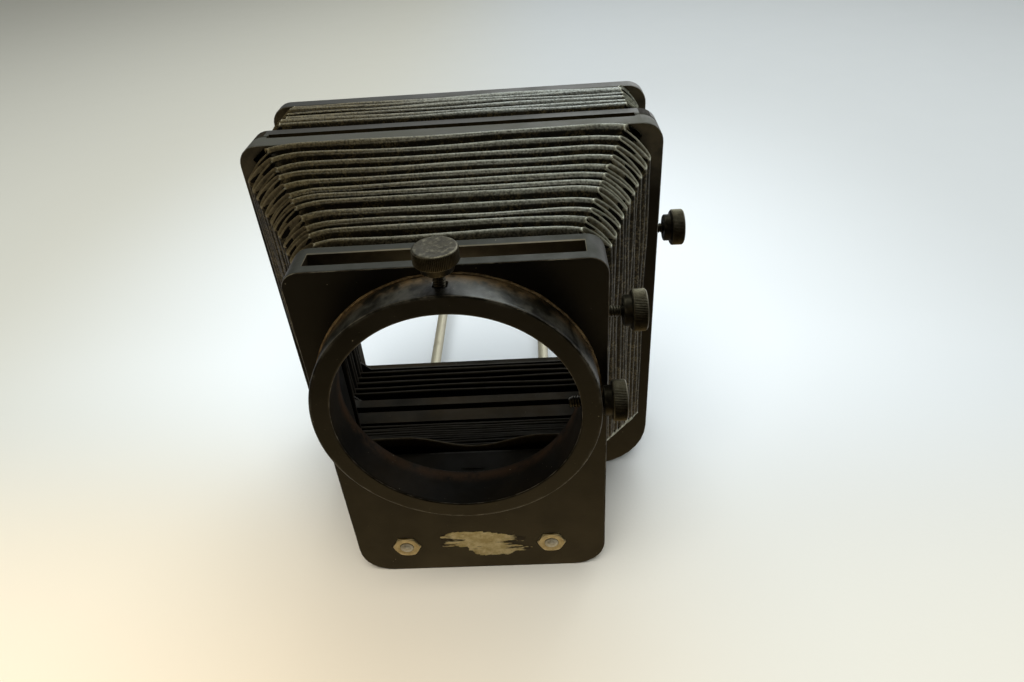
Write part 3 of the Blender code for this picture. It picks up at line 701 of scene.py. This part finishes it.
def build_ring(material, inner):
    """The clamp ring, turned finely, with its two screw holes cut through."""
    length = BLOCK_LOW.y - RING_LOW.y
    back = BLOCK_LOW.y - RING_HIGH.y
    gap = 0.0003
    inner_edge = ((0, 0.6, 0.1), (0.04, 0.35, 0.5), (0.14, 0.14, 1.0), (0.4, 0, 0.25), (0.7, 0, 0.0))
    outer_edge = ((0.7, 0, 0.0), (0.4, 0, 0.25), (0.14, 0.14, 1.0), (0.02, 0.4, 0.3), (0, 0.8, 0.0))
    profile = [(RING_BORE + out / 1000, length - down / 1000, wear) for out, down, wear in inner_edge]
    profile += [((RING_BORE + RING_RADIUS) / 2, length, 0.0)]
    profile += [(RING_RADIUS - out / 1000, length - down / 1000, wear) for out, down, wear in outer_edge]
    profile += [(RING_RADIUS, height, 0.0) for height in (0.0088, 0.0071, 0.0055, 0.0039, 0.0022, 0.0008)]
    profile += [(RING_RADIUS - 0.0001, gap, 0.4), (RING_SPIGOT, gap, 0.0)]
    profile += [(RING_SPIGOT, back + 0.0003, 0.1), (RING_SPIGOT - 0.0003, back, 0.5)]
    profile += [(RING_BORE + 0.0003, back, 0.5), (RING_BORE, back + 0.0003, 0.4)]
    profile += [(RING_BORE, 0.0, 0.0), (RING_BORE, 0.0055, 0.0)]
    mesh = turned_mesh("lens_clamp_ring_look", profile, 240)
    mesh.transform(axis_matrix(Vector((RING_CENTRE_X, BLOCK_LOW.y, AXIS_Z)), (0, -1, 0)))
    ring = new_piece("lens_clamp_ring_look", mesh, material, "root", "ring", "lens_clamp_ring")
    for axis in ((0, 0, 1), (1, 0, 0)):
        profile = [(0, -0.006, 0), (SCREW_HOLE, -0.006, 0), (SCREW_HOLE, 0.006, 0), (0, 0.006, 0)]
        drill = turned_mesh("screw_hole", profile, 32)
        wall = (RING_BORE + RING_RADIUS) / 2
        middle = Vector((RING_CENTRE_X, RING_SCREW_Y, AXIS_Z)) + wall * Vector(axis)
        drill.transform(axis_matrix(middle, axis))
        cut_away(ring, drill)
    share_material(ring, inner, in_ring_bore)
    smooth_by_area(ring)


# --- bellows
def fold_rows(start_y, end_y, crests, crest_round):
    """Rows of points from end to end as (y, t, crest y, valley y). t is 0 on a crest of the top panel and 1
    in a valley, and the last two are the crest and the valley that the row lies between."""
    arc = [math.radians(a) for a in (-78, -52, -26, 0, 26, 52, 78)]
    flank = (0.07, 0.14, 0.25, 0.42, 0.6, 0.76, 0.87, 0.94)
    first, last = crests[0], crests[-1]
    near_start, near_end = 2 * start_y - first, 2 * end_y - last
    rows = [(start_y, 0.5, first, near_start)]
    rows += [((start_y + first - crest_round) / 2, 0.24, first, near_start)]
    for number, crest in enumerate(crests):
        before = (crest + crests[number - 1]) / 2 if number else near_start
        after = (crest + crests[number + 1]) / 2 if number + 1 < len(crests) else near_end
        for a in arc:
            t = crest_round * (1 - math.cos(a)) / PLEAT_DEPTH
            rows.append((crest + crest_round * math.sin(a), t, crest, before if a < 0 else after))
        if crest == last:
            continue
        following = crests[number + 1]
        from_y, to_y = crest + crest_round, after - VALLEY_ROUND
        rows += [(from_y + (to_y - from_y) * s, s, crest, after) for s in flank]
        for a in arc:
            t = 1 - VALLEY_ROUND * (1 - math.cos(a)) / PLEAT_DEPTH
            rows.append((after + VALLEY_ROUND * math.sin(a), t, crest if a < 0 else following, after))
        from_y, to_y = after + VALLEY_ROUND, following - crest_round
        rows += [(from_y + (to_y - from_y) * s, 1 - s, following, after) for s in flank]
    rows += [((end_y + last + crest_round) / 2, 0.24, last, near_end), (end_y, 0.5, last, near_end)]
    return np.array(rows)


def section_columns(t, half, crest_short):
    """One quarter of the folded section, from the middle of the top panel to the middle of the side panel:
    (across, up, crest wear with a little painted light in the corners, share of the corner ridge) for each
    column. The side folds out where the top folds in, and a ridge joins their crests across the corner."""
    crest_wear = np.clip(1 - t / 0.11, 0, 1) ** 0.8
    side_wear = SIDE_WEAR * np.clip(1 - (1 - t) / 0.06, 0, 1)
    side_short = crest_short + SIDE_EXTRA
    top = half - PLEAT_DEPTH * t
    side = half - PLEAT_DEPTH * (1 - t)
    top_end = half - crest_short - CORNER_SOFT + (crest_short - VALLEY_SHORT + CORNER_SOFT) * t
    side_end = half - VALLEY_SHORT - (side_short - VALLEY_SHORT + CORNER_SOFT) * t
    bulge = 4 * t * (1 - t)
    lift = RIDGE_LIFT * bulge
    ridge = (half - crest_short * (1 - t) + lift, half - side_short * t + lift)
    dip = CORNER_DIP * bulge
    ridge_wear = np.full_like(t, RIDGE_WEAR)
    columns = [(top_end * n / PANEL_COLUMNS, top, crest_wear, 0.0) for n in range(PANEL_COLUMNS)]
    for (end_across, end_up), wear, steps in (
        ((top_end, top), crest_wear, CORNER_STEPS),
        ((side, side_end), side_wear, tuple(reversed(CORNER_STEPS))),
    ):
        if steps[0]:
            columns.append((*ridge, ridge_wear, 1.0))
        for g in steps:
            sunk = dip * math.sin(math.pi * g)
            across = end_across + (ridge[0] - end_across) * g - sunk
            up = end_up + (ridge[1] - end_up) * g - sunk
            away = np.hypot(ridge[0] - across, ridge[1] - up)
            ridge_part = RIDGE_WEAR * np.clip(1.3 - away / RIDGE_WIDTH, 0, 1)
            corner_wear = np.maximum(wear * (1 - g), ridge_part)
            columns.append((across, up, np.maximum(corner_wear, CORNER_PAINTED_LIGHT * min(1.0, 3 * g)), g * g))
    for n in range(1, PANEL_COLUMNS + 1):
        columns.append((side, side_end * (1 - n / PANEL_COLUMNS), side_wear, 0.0))
    return columns


def ridge_place(t):
    """How far along from its crest to its valley a corner ridge lies: it leaves the crest and reaches the
    valley in round turns, and runs straight across the corner between them."""
    start = ARM_OFFSET * np.sqrt(1 - (1 - np.clip(t / 0.08, 0, 1)) ** 2)
    end = 1 - (1 - ARM_OFFSET) * np.sqrt(1 - (1 - np.clip((1 - t) / 0.14, 0, 1)) ** 2)
    return np.where(t < 0.5, start, end)


def wobble(points, t, half, crest_short, droop):
    """Makes the folds uneven, as cloth is: they wander, rise and sag, and droop towards the corners."""
    moved = points.copy()
    for row in range(points.shape[0]):
        for column in range(points.shape[1]):
            x, y, z = points[row, column]
            wander = noise.noise(Vector((x * 22, y * 190, z * 22)))
            lift = noise.noise(Vector((x * 30, y * 330, z * 30 + 7.3)))
            moved[row, column, 1] += WANDER * wander * min(1.0, 2.2 * t[row] + 0.35)
            scale = 1 + LIFT * lift / half[row]
            moved[row, column, 0] = x * scale
            moved[row, column, 2] = z * scale
            if abs(z) > 0.6 * half[row]:
                reach = abs(x) / (half[row] - crest_short[row])
                fall = droop * max(0.0, min(1.0, (reach - 0.80) / 0.2)) ** 2 * (1 - t[row])
                if x < 0:
                    fall *= LEFT_DROOP_MORE
                moved[row, column, 2] -= math.copysign(fall, z)
    return moved


def bellows_mesh(name, start, end, crests, crest_round, droop, widen, raised_fold):
    """Folded cloth from start to end, each a (y, centre x, half size, crest's distance from the corner), as
    a closed outer and inner skin. It grows wider than it is high by the share widen towards its end. The
    lining is a cloth's thickness in from the panels and, where the corners fold, towards the axis."""
    rows = fold_rows(start[0], end[0], crests, crest_round)
    y, t, crest_y, valley_y = rows.T
    along_bellows = np.clip((y - start[0]) / (end[0] - start[0]), 0, 1)
    centre_x = start[1] + (end[1] - start[1]) * along_bellows
    half = start[2] + (end[2] - start[2]) * along_bellows
    crest_short = start[3] + (end[3] - start[3]) * along_bellows
    quarter = section_columns(t, half, crest_short)
    ridge_y = crest_y + (valley_y - crest_y) * ridge_place(t)
    ring = []
    for across_sign, up_sign, backwards in ((1, 1, False), (1, -1, True), (-1, -1, False), (-1, 1, True)):
        columns = list(reversed(quarter))[:-1] if backwards else quarter[:-1]
        for across, up, wear, share in columns:
            column_y = y + (ridge_y - y) * share
            in_corner = np.full_like(y, min(1.0, 3 * math.sqrt(share)))
            ring.append((across_sign * across, column_y, up_sign * up, wear, in_corner))
    outer = np.stack([np.stack(column[:3], axis=-1) for column in ring], axis=1)
    wear, in_corner = (np.stack([column[number] for column in ring], axis=1) for number in (3, 4))
    outer = wobble(outer, t, half, crest_short, droop)
    outer[..., 1] = np.maximum.accumulate(np.clip(outer[..., 1], start[0], end[0]), axis=0)
    outer[..., 0] *= (1 + widen * along_bellows)[:, None]
    if raised_fold:
        outer = raise_first_fold(outer, t, (crests[0] + crests[1]) / 2)
    around = np.roll(outer, -1, axis=1) - np.roll(outer, 1, axis=1)
    normals = np.cross(np.gradient(outer, axis=0), around)
    normals /= np.linalg.norm(normals, axis=-1, keepdims=True) + 1e-12
    outward = np.sign(np.sum(normals * (outer * (1, 0, 1))))
    corner_share = in_corner[..., None]
    inner = outer - normals * outward * CLOTH * (1 - corner_share)
    inner[..., ::2] *= 1 - corner_share * (CLOTH / half)[:, None, None]
    shell = np.concatenate([outer, inner[::-1]])
    shell[..., 0] += np.concatenate([centre_x, centre_x[::-1]])[:, None]
    shell[..., 2] += AXIS_Z
    # Painted light for the lining: its fold lines, and the standing edge of the first fold fully, take the
    # lining's brown.
    folds = SIDE_WEAR * (np.minimum(t, 1 - t)[:, None] < 0.05) * np.ones_like(wear)
    if raised_fold:
        rim = near_first_fold(outer, (crests[0] + crests[1]) / 2) & (t[:, None] > 0.86)
        folds = np.where(rim, 1.0, folds)
    crest, corner = np.concatenate([wear, folds[::-1]]), np.concatenate([in_corner, 0 * in_corner])
    mesh = grid_mesh(name, shell, {"crest": crest, "corner": corner}, loop=True)
    rest = mesh.attributes.new("rest", "FLOAT_VECTOR", "POINT")
    rest.data.foreach_set("vector", shell.reshape(-1).astype(np.float32))
    return mesh


def raise_first_fold(points, t, valley_y):
    """The first inward fold of the bottom panel stands up towards its ends and hangs in the middle."""
    raised = points.copy()
    x = points[..., 0]
    here = near_first_fold(points, valley_y)
    hang = 0.5 + 0.5 * np.cos(np.clip(x / 0.024, -1, 1) * math.pi)
    fade = np.clip((0.043 - np.abs(x)) / 0.006, 0, 1)
    rise = t[:, None] ** 1.5 * (FIRST_FOLD_RISE * (1 - hang) * fade - FIRST_FOLD_HANG * hang)
    raised[..., 2] += np.where(here, rise, 0)
    return raised


def near_first_fold(points, valley_y):
    """In the bottom panel, between the first two crests."""
    return (points[..., 2] < -0.03) & (np.abs(points[..., 1] - valley_y) < 0.0019)


def spaced(first, last, gaps):
    """Places from first to last whose gaps have the given proportions."""
    steps = np.concatenate([[0.0], np.cumsum(gaps)])
    return list(first + (last - first) * steps / steps[-1])


def build_bellows(leather, lining):
    start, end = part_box("front_bellows_lens_frame")[1].y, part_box("front_bellows_mid_frame")[0].y
    crests = spaced(*FRONT_CRESTS, FRONT_CREST_GAPS)
    ends = (start, *FRONT_ENDS[0]), (end, *FRONT_ENDS[1])
    mesh = bellows_mesh("front_bellows_look", *ends, crests, 0.0006, 0.0008, 0.020, raised_fold=True)
    hang_bellows("front_bellows", mesh, leather, lining)
    start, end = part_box("rear_bellows_mid_frame")[1].y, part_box("rear_bellows_mouth_frame")[0].y
    crests = spaced(start + REAR_FIRST_CREST, end - REAR_FIRST_CREST, REAR_CREST_GAPS)
    ends = (start, *REAR_END), (end, *REAR_END)
    mesh = bellows_mesh("rear_bellows_look", *ends, crests, 0.0012, 0.0, 0.0, raised_fold=False)
    hang_bellows("rear_bellows", mesh, leather, lining)


def hang_bellows(node, mesh, leather, lining):
    """Lines the second half of a bellows' polygons, its inner skin, and leaves it in world places on no body.
    """
    piece = new_piece(f"{node}_look", mesh, leather, None, "leathercloth", node)
    inner_from = len(mesh.polygons) // 2
    share_material(piece, lining, lambda polygon: polygon.index >= inner_from)
    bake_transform(piece)


# --- thumbscrews
def knurl(number, radius, height, edge, angles):
    """Cuts straight teeth where a profile point's wear is over 1."""
    tooth = np.abs((angles * KNURL_TEETH / (2 * math.pi)) % 1 * 2 - 1)
    cut = KNURL_DEPTH * tooth if edge > 1 else 0 * tooth
    wear = np.where(tooth < 0.3, 1.0, 0.0) if edge > 1 else np.full_like(angles, edge)
    return radius - cut, wear, np.full_like(angles, height)


def thread(number, radius, height, edge, angles):
    """Cuts a right-hand thread where a profile point's wear is over 1."""
    phase = np.abs((height / THREAD_PITCH - angles / (2 * math.pi)) % 1 * 2 - 1)
    radii = radius - (THREAD_MAJOR - THREAD_MINOR) * phase if edge > 1 else np.full_like(angles, radius)
    wear = np.where(phase < 0.35, 0.7, 0.0) if edge > 1 else np.full_like(angles, edge)
    return radii, wear, np.full_like(angles, height)


def head_profile(top, side):
    """(radius, height, wear) up the outside of a thumbscrew's head and down into its socket."""
    shoulder, shoulder_radius = HEAD_SHOULDER, HEAD_SHOULDER_RADIUS
    socket_radius, socket_depth = THREAD_MAJOR + BORE_CLEARANCE, HEAD_SOCKET_DEPTH
    toothed, rim = 2.0, side - 0.00015
    profile = [(0, top - 0.00012, 0.5), (0.0006, top - 0.00012, 0.5), (side - 0.0012, top - 0.00005, 0.5)]
    profile += [(side - 0.0007, top, 0.5), (side - 0.00045, top - 0.00002, 0.55), (rim, top - 0.0003, 0.8)]
    profile += [(side, top - 0.0005, toothed), (side, (top + shoulder) / 2, toothed)]
    profile += [(side, shoulder + 0.0005, toothed), (rim, shoulder + 0.0003, 0.8)]
    profile += [(side - 0.0005, shoulder, 0.7), (shoulder_radius + 0.0003, shoulder, 0.1)]
    profile += [(shoulder_radius, shoulder - 0.0002, 0.1), (shoulder_radius, 0.0003, 0.5)]
    profile += [(shoulder_radius - 0.0003, 0, 0.8), (socket_radius + 0.0002, 0, 0.1)]
    profile += [(socket_radius, 0.0002, 0.1), (socket_radius, socket_depth, 0.0), (0, socket_depth, 0.0)]
    return profile


def stem_profile(bottom, top):
    """(radius, height, wear) down the outside of a threaded stem."""
    threaded = 2.0
    neck = THREAD_MINOR
    profile = [(0, top, 0), (neck - 0.0002, top, 0), (neck, top - 0.0002, 0), (neck, -0.0004, 0.2)]
    rows = int((-0.0006 - (bottom + 0.0006)) / (THREAD_PITCH / 6))
    for row in range(rows + 1):
        profile.append((THREAD_MAJOR, -0.0006 - row * THREAD_PITCH / 6, threaded))
    profile += [(neck, bottom + 0.0003, 0.5), (neck - 0.0004, bottom, 0.7), (0, bottom, 0.5)]
    return profile


def build_thumbscrews(metal):
    for name in ("ring_top_screw", "ring_side_screw", "filter_lock_screw", "mask_lock_screw"):
        axis = (0, 0, 1) if name == "ring_top_screw" else (1, 0, 0)
        direction = Vector(axis)
        head_low, head_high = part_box(f"{name}_head")
        stem_low, stem_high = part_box(f"{name}_stem")
        middle = (head_low + head_high) / 2
        seat = middle + direction * (head_low - middle).dot(direction)
        top = (head_high - seat).dot(direction)
        reach = head_high - middle
        radius = max(abs(value) for value in reach - direction * reach.dot(direction))
        head = head_profile(top, radius)
        stem = stem_profile((stem_low - seat).dot(direction), (stem_high - seat).dot(direction))
        for part, profile, steps, shape in (
            ("head", head, KNURL_TEETH * 4, knurl),
            ("stem", stem, 32, thread),
        ):
            node = f"{name}_{part}"
            mesh = turned_mesh(f"{node}_look", profile, steps, shape)
            matrix = axis_matrix(seat, axis)
            piece = new_piece(f"{node}_look", mesh, metal, node, "screw_metal", node, matrix=matrix)
            if part == "head":
                smooth_by_area(piece)


# --- rods and their fittings
def turned_piece(node, profile, material, body, slot, steps=48, shape=None, sunk=0.0):
    """A turned piece along +Y that starts at its CAD node's front end, or sunk behind it."""
    low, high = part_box(node)
    middle = (low + high) / 2
    matrix = axis_matrix(Vector((middle.x, low.y + sunk, middle.z)), (0, 1, 0))
    mesh = turned_mesh(f"{node}_look", profile, steps, shape)
    piece = new_piece(f"{node}_look", mesh, material, body, slot, node, matrix=matrix)
    smooth_by_area(piece)
    return piece


def hexagon(number, radius, height, edge, angles):
    """Takes points whose wear is over 1 out to a hexagon, with the corners turned down on the face."""
    if edge <= 1:
        return np.full_like(angles, radius), np.full_like(angles, edge), np.full_like(angles, height)
    reach = radius / np.cos(angles % (math.pi / 3) - math.pi / 6)
    turned_down = np.clip(reach - radius, 0, None) * 0.45 if edge == 3 else 0 * reach
    wear = np.full_like(angles, 1.0 if edge == 3 else 0.3)
    return reach, wear, height + turned_down


def build_rods(rod_metal, stud, brass):
    for side in ("left", "right"):
        low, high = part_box(f"rod_{side}")
        radius = (high.x - low.x) / 2
        bore = radius + BORE_CLEARANCE
        build_rod(f"rod_{side}", high.y - low.y - FRONT_SUNK, radius, rod_metal, stud)
        build_nut(f"front_nut_{side}", bore, brass, FRONT_SUNK)
        build_nut(f"jam_nut_{side}", bore, brass, 0.0)
        build_cap(f"rod_end_cap_{side}", bore, rod_metal)
        for body in ("mid", "mouth"):
            build_bush(f"{body}_bush_{side}", bore, brass, body)


def build_rod(node, length, radius, metal, stud):
    """A rod with a domed, stepped front end, which is duller than the rest."""
    profile = [(0, 0, 0.6), (radius * 0.3, 0.00004, 0.5), (radius * 0.52, 0.00018, 0.5)]
    profile += [(radius * 0.66, 0.00042, 0.4), (radius * 0.74, 0.00048, 0.4)]
    profile += [(radius * 0.93, 0.0005, 0.6), (radius, 0.0006, 0.3), (radius, 0.0009, 0)]
    profile += [(radius, length - 0.0008, 0), (radius, length - 0.0005, 0.5)]
    profile += [(radius - 0.0004, length, 0.6), (0, length, 0.2)]
    rod = turned_piece(node, profile, metal, "root", "rod_metal", sunk=FRONT_SUNK)
    share_material(rod, stud, lambda polygon: polygon.center.z < STUD_LENGTH)


def build_nut(node, bore, brass, sunk):
    """A hexagon nut whose corners are turned down on its front face."""
    low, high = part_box(node)
    thick, half_flats = high.y - low.y - sunk, (high.z - low.z) / 2
    profile = [(bore + 0.00005, 0, 0.5), (half_flats * 0.96, 0, 0.4)]
    profile += [(half_flats * 0.985, 0.00004, 3.0), (half_flats, 0.0002, 3.0)]
    profile += [(half_flats, thick - 0.0002, 2.0)]
    profile += [(half_flats * 0.98, thick, 2.0), (bore + 0.0002, thick, 0.2)]
    profile += [(bore, thick - 0.0003, 0), (bore, 0.0003, 0)]
    turned_piece(node, profile, brass, "root", "brass", 72, hexagon, sunk)


def build_cap(node, bore, metal):
    """A domed cap on a rod's far end, with a blind bore."""
    low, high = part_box(node)
    length, radius = high.y - low.y, (high.x - low.x) / 2
    profile = [(0, length, 0.3)]
    for degrees in (12, 24, 38, 52, 66, 80, 90):
        angle = math.radians(degrees)
        profile.append((radius * math.sin(angle), length - radius / 2 * (1 - math.cos(angle)), 0.3))
    profile += [(radius, 0.0008, 0.3), (radius - 0.0003, 0.0005, 0.9), (radius - 0.0003, 0.0003, 0.9)]
    profile += [(radius - 0.0006, 0, 0.6), (bore + 0.0002, 0, 0.2), (bore, 0.0002, 0)]
    profile += [(bore, length - 0.002, 0), (0, length - 0.002, 0)]
    turned_piece(node, profile, metal, "root", "rod_metal")


def build_bush(node, bore, brass, body):
    """A flanged bush in a frame, which slides on its rod."""
    low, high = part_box(node)
    depth, flange = high.y - low.y, (high.x - low.x) / 2
    profile = [(bore, depth, 0.3), (flange - 0.00015, depth, 0.5), (flange, depth - 0.00015, 1)]
    profile += [(flange, depth - 0.00065, 0.8), (flange - 0.00015, depth - 0.0008, 0.3)]
    profile += [(BUSH_RADIUS, depth - 0.0008, 0), (BUSH_RADIUS, 0.0002, 0.4)]
    profile += [(BUSH_RADIUS - 0.0002, 0, 0.5), (bore, 0, 0.2)]
    turned_piece(node, profile, brass, body, "brass")


# --- marks on the block
def build_label_scar(material):
    """A ragged patch of old label on the block's face, 0.06 mm thick."""
    outline = [(-13.8, 18.5), (-9.6, 20.2), (-3.2, 20.3), (3.1, 19.7), (11.5, 17.6), (16.4, 16.3)]
    outline += [(15.6, 14.1), (10.6, 14.7), (13.7, 11.9), (18.3, 10.6), (17.5, 8.9), (12.8, 9.1)]
    outline += [(10.1, 7.0), (-0.9, 7.0), (-4.2, 10.1), (-4.8, 11.8), (-9.8, 12.6), (-12.1, 11.4)]
    outline += [(-14.4, 13.5), (-12.4, 14.8), (-14.4, 16.3)]
    points = []
    for (x0, z0), (x1, z1) in zip(outline, outline[1:] + outline[:1]):
        steps = max(2, round(math.hypot(x1 - x0, z1 - z0) / 0.35))
        for step in range(steps):
            x, z = x0 + (x1 - x0) * step / steps, z0 + (z1 - z0) * step / steps
            ragged = 0.55 * noise.noise(Vector((x * 0.9, z * 0.9, 1.7)))
            ragged += 0.22 * noise.noise(Vector((x * 3, z * 3, 5)))
            points.append(((x + 1.6 * ragged) / 1000, (z + 0.8 * ragged) / 1000))
    solid = bmesh.new()
    face_y = BLOCK_LOW.y
    back = [solid.verts.new((x, face_y - 0.000005, z)) for x, z in points]
    front = [solid.verts.new((x * 0.995, face_y - 0.00006, z)) for x, z in points]
    solid.faces.new(back)
    solid.faces.new(list(reversed(front)))
    for number in range(len(points)):
        after = (number + 1) % len(points)
        solid.faces.new((back[number], front[number], front[after], back[after]))
    bmesh.ops.recalc_face_normals(solid, faces=solid.faces)
    new_piece("label_scar", write_mesh(solid, bpy.data.meshes.new("label_scar")), material, "root", "card")


def build_joint_grime(material):
    """A thin fillet of dust and polish where the ring meets the block."""
    inner, outer = RING_RADIUS - 0.0001, RING_RADIUS + 0.00055
    profile = [(inner, 0.00002, 0), (outer, 0.00002, 0)]
    profile += [(RING_RADIUS + 0.0001, 0.0003, 0), (inner, 0.0004, 0)]

    def uneven(number, radius, height, edge, angles):
        ragged = np.array([noise.noise(Vector((math.cos(a) * 9, math.sin(a) * 9, number))) for a in angles])
        grown = radius + (0.0002 * ragged if number == 1 else 0 * ragged)
        return grown, 0 * angles, np.full_like(angles, height)

    mesh = turned_mesh("ring_joint_grime", profile, 240, uneven)
    matrix = axis_matrix(Vector((RING_CENTRE_X, BLOCK_LOW.y, AXIS_Z)), (0, -1, 0))
    new_piece("ring_joint_grime", mesh, material, "root", "ring", matrix=matrix)


# --- stage, light and camera
def build_stage(material):
    mesh = bpy.data.meshes.new("floor")
    reach, level = 4.0, -0.00005
    corners = [(x * reach, y * reach, level) for x, y in ((-1, -1), (1, -1), (1, 1), (-1, 1))]
    mesh.from_pydata(corners, [], [(0, 1, 2, 3)])
    floor = bpy.data.objects.new("floor", mesh)
    mesh.materials.append(material)
    bpy.context.scene.collection.objects.link(floor)
    floor.visible_glossy = False


def add_area_light(name, place, target, size, power, colour):
    light = bpy.data.lights.new(name, "AREA")
    light.shape = "DISK"
    light.size = size
    light.energy = power
    light.color = colour
    holder = bpy.data.objects.new(name, light)
    holder.location = place
    aim = Vector(target) - Vector(place)
    holder.rotation_euler = aim.to_track_quat("-Z", "Y").to_euler()
    bpy.context.scene.collection.objects.link(holder)
    return holder


class WorldRecipe(Recipe):
    """Nodes for the light that comes from far away, by the direction it comes from."""

    def __init__(self, world):
        world.use_nodes = True
        self.tree = world.node_tree
        self.place = self.node("ShaderNodeTexCoord", {}, "Generated")


def build_light():
    """A pale tent that is dark in front, with soft lights above and behind. The floor has its own."""
    world = bpy.data.worlds.new("soft_tent")
    bpy.context.scene.world = world
    mat = WorldRecipe(world)
    back, up = mat.part_of(mat.place, "Y"), mat.part_of(mat.place, "Z")
    wall = mat.step(back, -0.25, 0.5, 0.02, 0.40)
    facing = mat.vector("DOT_PRODUCT", mat.place, (0.50, 0.83, 0.25), "Value")
    wall = mat.add(wall, mat.step(facing, 0.62, 0.96, 0.0, 1.3))
    wall = mat.times(wall, mat.step(mat.part_of(mat.place, "X"), -0.8, 0.3, 0.45, 1.0))
    floor_in_front = mat.step(mat.times(up, -1.0), 0.54, 0.86, 0.005, 0.68)
    below = mat.lerp(mat.step(back, -0.25, 0.25), floor_in_front, 0.55)
    strength = mat.lerp(mat.step(up, -0.06, 0.02), below, wall)
    colour = mat.mix(mat.step(back, -0.25, 0.35), (1.0, 0.72, 0.33), (0.96, 0.98, 0.97))
    seen = mat.node("ShaderNodeLightPath", {}, "Is Camera Ray")
    colour = mat.mix(seen, colour, (1.0, 0.99, 0.95))
    strength = mat.lerp(seen, strength, 0.72)
    background = mat.tree.nodes["Background"]
    mat.feed(background.inputs["Color"], colour)
    mat.feed(background.inputs["Strength"], strength)
    for name, place, target, size, power, tint, on_floor in (
        ("key", (0.35, 0.75, 0.95), (0, 0.03, 0.08), 0.7, 3.4, (0.88, 1.0, 0.98), False),
        ("ceiling", (0.05, 0.25, 1.05), (0, 0.05, 0.1), 0.9, 4.7, (0.97, 0.98, 0.84), False),
        ("floor_wash", (-0.05, -0.45, 1.2), (0, 0.05, 0), 1.0, 15.0, (1.0, 0.99, 0.97), True),
        ("back_wash", (0.10, 0.75, 1.1), (0.05, 0.15, 0), 0.9, 6.0, (0.93, 0.97, 1.0), True),
        ("warm_fill", (-0.55, -0.25, 0.45), (0, 0, 0.03), 0.35, 0.22, (1.0, 0.80, 0.50), False),
    ):
        light = add_area_light(name, place, target, size, power, tint)
        receivers = bpy.data.collections.new(f"{name}_receivers")
        receivers.objects.link(bpy.data.objects["floor"])
        light.light_linking.receiver_collection = receivers
        link_state = "INCLUDE" if on_floor else "EXCLUDE"
        receivers.collection_objects[0].light_linking.link_state = link_state
    scene = bpy.context.scene
    scene.view_settings.view_transform = "Standard"
    scene.view_settings.look = "None"


def build_camera():
    camera = bpy.data.cameras.new("camera")
    camera.lens = 24.88
    camera.sensor_width = 36
    camera.clip_start = 0.01
    camera.clip_end = 20
    holder = bpy.data.objects.new("camera", camera)
    turn = Matrix.Rotation(math.radians(3.152), 3, "Z") @ Matrix.Rotation(math.radians(-35.998), 3, "X")
    turn = turn @ Matrix.Rotation(math.radians(4.559), 3, "Y")
    right, forward, up = (turn @ Vector(axis) for axis in ((1, 0, 0), (0, 1, 0), (0, 0, 1)))
    matrix = Matrix((right, up, -forward)).transposed().to_4x4()
    holder.matrix_world = Matrix.Translation((0.02595, -0.16959, 0.22112)) @ matrix
    bpy.context.scene.collection.objects.link(holder)
    bpy.context.scene.camera = holder


def build():
    build_camera()
    build_stage(floor_material())
    build_light()
    # each colour here is the upward tops' dust with painted sheen
    phenolic = phenolic_material("brown_black_phenolic", (0.022, 0.024, 0.018))
    dusty_phenolic = phenolic_material("dusty_phenolic", (0.080, 0.080, 0.064), dust_from_z=0.122)
    inner = inner_material()
    build_plates(phenolic, dusty_phenolic, card_material(), inner)
    build_ring(ring_material(), inner)
    build_bellows(leathercloth_material(), lining_material())
    build_thumbscrews(screw_material())
    build_rods(rod_material(), stud_material(), brass_material())
    build_label_scar(scar_material())
    build_joint_grime(grime_material())


build()
